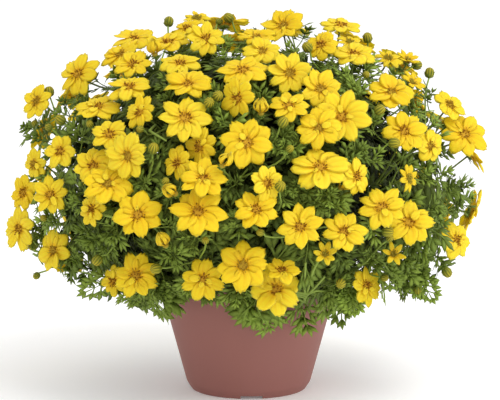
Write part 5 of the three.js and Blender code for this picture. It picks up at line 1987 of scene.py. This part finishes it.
class BEGGARTICKS_OT_sprigs(bpy.types.Operator):
    """Adds the small bright sprigs between the blooms"""

    bl_idname = "beggarticks.sprigs"
    bl_label = "Sprigs"

    def execute(self, context):
        _, petals = grown()
        for node, skin in grow_sprigs(find_plant(), petals).items():
            keep(skin.build(f"sprigs_{node}", [stalk_finish(), leaf_finish()]), "foliage", node)
        return {"FINISHED"}


def small_buds(plant, petals):
    """The picture's small buds by their stems, where a stalk clears the petals."""
    found = {}
    tips = [tip for stem in plant.stems for tip in stem.tips]
    for x, y in SMALL_BUDS:
        for tip, controls in bud_curves(place_in_sight(x, y), tips, BUD.tries):
            if not petals.hit(controls[0], controls[3]):
                found.setdefault(tip.stem.node, []).append((controls, FINE_BUD.small))
                break
    return found


class BEGGARTICKS_OT_foliage(bpy.types.Operator):
    """Adds the stems, limbs, leaves and buds"""

    bl_idname = "beggarticks.foliage"
    bl_label = "Foliage"

    def execute(self, context):
        _, petals = grown()
        plant = find_plant()
        small = small_buds(plant, petals)
        for stem in plant.stems:
            skin = Skin()
            add_stem(skin, stem)
            rng = np.random.default_rng(SEED.stem_leaves + stem.index)
            for leaf in stem.leaves:
                pattern = leaf_pattern(int(rng.integers(FINE_LEAF.kinds)))
                tone = rng.uniform(*STEM_LEAF_TONE)
                add_leaf(skin, leaf, pattern, rng, petals, tone, 1, SPRIG.outmost)
            first = SEED.per_stem * stem.index
            for k, (controls, _) in enumerate(stem.limbs):
                seed = SEED.limb_leaves + first + k
                grow_leaves(skin, controls, THICKET.limb_shares, seed, petals)
            add_heart_leaves(skin, stem, petals)
            for k, (controls, size) in enumerate(stem.buds + small.get(stem.node, [])):
                add_bud(skin, controls, size, SEED.buds + first + k)
            name = stem.node.replace("leafy_stem", "foliage")
            keep(skin.build(name, [stalk_finish(), leaf_finish(), bud_finish()]), "foliage", stem.node)
        return {"FINISHED"}


class BEGGARTICKS_OT_pot(bpy.types.Operator):
    """Adds the flower pot"""

    bl_idname = "beggarticks.pot"
    bl_label = "Pot"

    def execute(self, context):
        keep(pot_piece(), "pot", "pot")
        return {"FINISHED"}


class BEGGARTICKS_OT_soil(bpy.types.Operator):
    """Adds the potting soil"""

    bl_idname = "beggarticks.soil"
    bl_label = "Soil"

    def execute(self, context):
        keep(soil_piece(), "soil", "soil")
        return {"FINISHED"}


def soft_light(name, power, turn, rise):
    """A large soft light at a turn to the viewer's right and a height."""
    data = bpy.data.lights.new(name, "AREA")
    data.energy = power
    data.size = bpy.context.scene.beggarticks_light.key_size
    lamp = bpy.data.objects.new(name, data)
    flat = cos(rise)
    away = Vector((flat * sin(turn), -flat * cos(turn), sin(rise)))
    lamp.location = Vector((0, 0, CUSHION.level * MM)) + away * STAGE.key_distance
    lamp.rotation_euler = away.to_track_quat("Z", "Y").to_euler()
    return lamp


class BEGGARTICKS_OT_stage(bpy.types.Operator):
    """Adds the floor, the light and the camera"""

    bl_idname = "beggarticks.stage"
    bl_label = "Stage"

    def execute(self, context):
        scene = context.scene
        light = scene.beggarticks_light
        bpy.ops.mesh.primitive_plane_add(size=STAGE.floor, location=(0, STAGE.floor / 4, 0))
        floor = bpy.context.object
        floor.name = "floor"
        finish = Finish("floor")
        finish.set(Base_Color=(*colours().floor, 1), Roughness=0.9, Specular_IOR_Level=0.1)
        finish.set(Emission_Color=(1, 1, 1, 1), Emission_Strength=0.12)
        floor.data.materials.append(finish.material)
        key = soft_light("key", light.key_power, light.key_turn, light.key_rise)
        side = soft_light("side", light.side_power, light.side_turn, light.side_rise)
        camera = bpy.data.objects.new("camera", bpy.data.cameras.new("camera"))
        camera.data.sensor_width = STAGE.sensor
        camera.data.lens = VIEW.focus / VIEW.width * STAGE.sensor
        camera.location = Vector(EYE) * MM
        camera.rotation_euler = (Vector(EYE) - Vector(VIEW.aim)).to_track_quat("Z", "Y").to_euler()
        for item in (key, side, camera):
            scene.collection.objects.link(item)
        scene.camera = camera
        world = bpy.data.worlds.new("studio")
        world.use_nodes = True
        ground = world.node_tree.nodes["Background"]
        ground.inputs["Color"].default_value = (*colours().sky, 1)
        ground.inputs["Strength"].default_value = light.sky_strength
        scene.world = world
        scene.view_settings.view_transform = "Standard"
        return {"FINISHED"}


class BEGGARTICKS_PT_panel(bpy.types.Panel):
    """The sizes, colours and light, and a button for each group of pieces"""

    bl_idname = "BEGGARTICKS_PT_panel"
    bl_label = "Potted Arizona Beggarticks"
    bl_space_type = "VIEW_3D"
    bl_region_type = "UI"
    bl_category = "Beggarticks"

    def draw(self, context):
        scene = context.scene
        for group in (scene.beggarticks_sizes, scene.beggarticks_colours, scene.beggarticks_light):
            column = self.layout.column()
            for name in group.bl_rna.properties.keys():
                if name not in ("rna_type", "name"):
                    column.prop(group, name)
        for operator in OPERATORS:
            self.layout.operator(operator.bl_idname)


OPERATORS = (
    BEGGARTICKS_OT_pot, BEGGARTICKS_OT_soil, BEGGARTICKS_OT_blooms, BEGGARTICKS_OT_stalks,
    BEGGARTICKS_OT_foliage, BEGGARTICKS_OT_sprigs, BEGGARTICKS_OT_stage,
)
CLASSES = (BeggarticksSizes, BeggarticksColours, BeggarticksLight, *OPERATORS, BEGGARTICKS_PT_panel)


def register():
    for item in CLASSES:
        bpy.utils.register_class(item)
    bpy.types.Scene.beggarticks_sizes = bpy.props.PointerProperty(type=BeggarticksSizes)
    bpy.types.Scene.beggarticks_colours = bpy.props.PointerProperty(type=BeggarticksColours)
    bpy.types.Scene.beggarticks_light = bpy.props.PointerProperty(type=BeggarticksLight)


def unregister():
    del bpy.types.Scene.beggarticks_sizes
    del bpy.types.Scene.beggarticks_colours
    del bpy.types.Scene.beggarticks_light
    for item in reversed(CLASSES):
        bpy.utils.unregister_class(item)


def main():
    register()
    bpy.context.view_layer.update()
    bpy.ops.beggarticks.pot()
    bpy.ops.beggarticks.soil()
    bpy.ops.beggarticks.blooms()
    bpy.ops.beggarticks.stalks()
    bpy.ops.beggarticks.foliage()
    bpy.ops.beggarticks.sprigs()
    bpy.ops.beggarticks.stage()


if __name__ == "__main__":
    main()
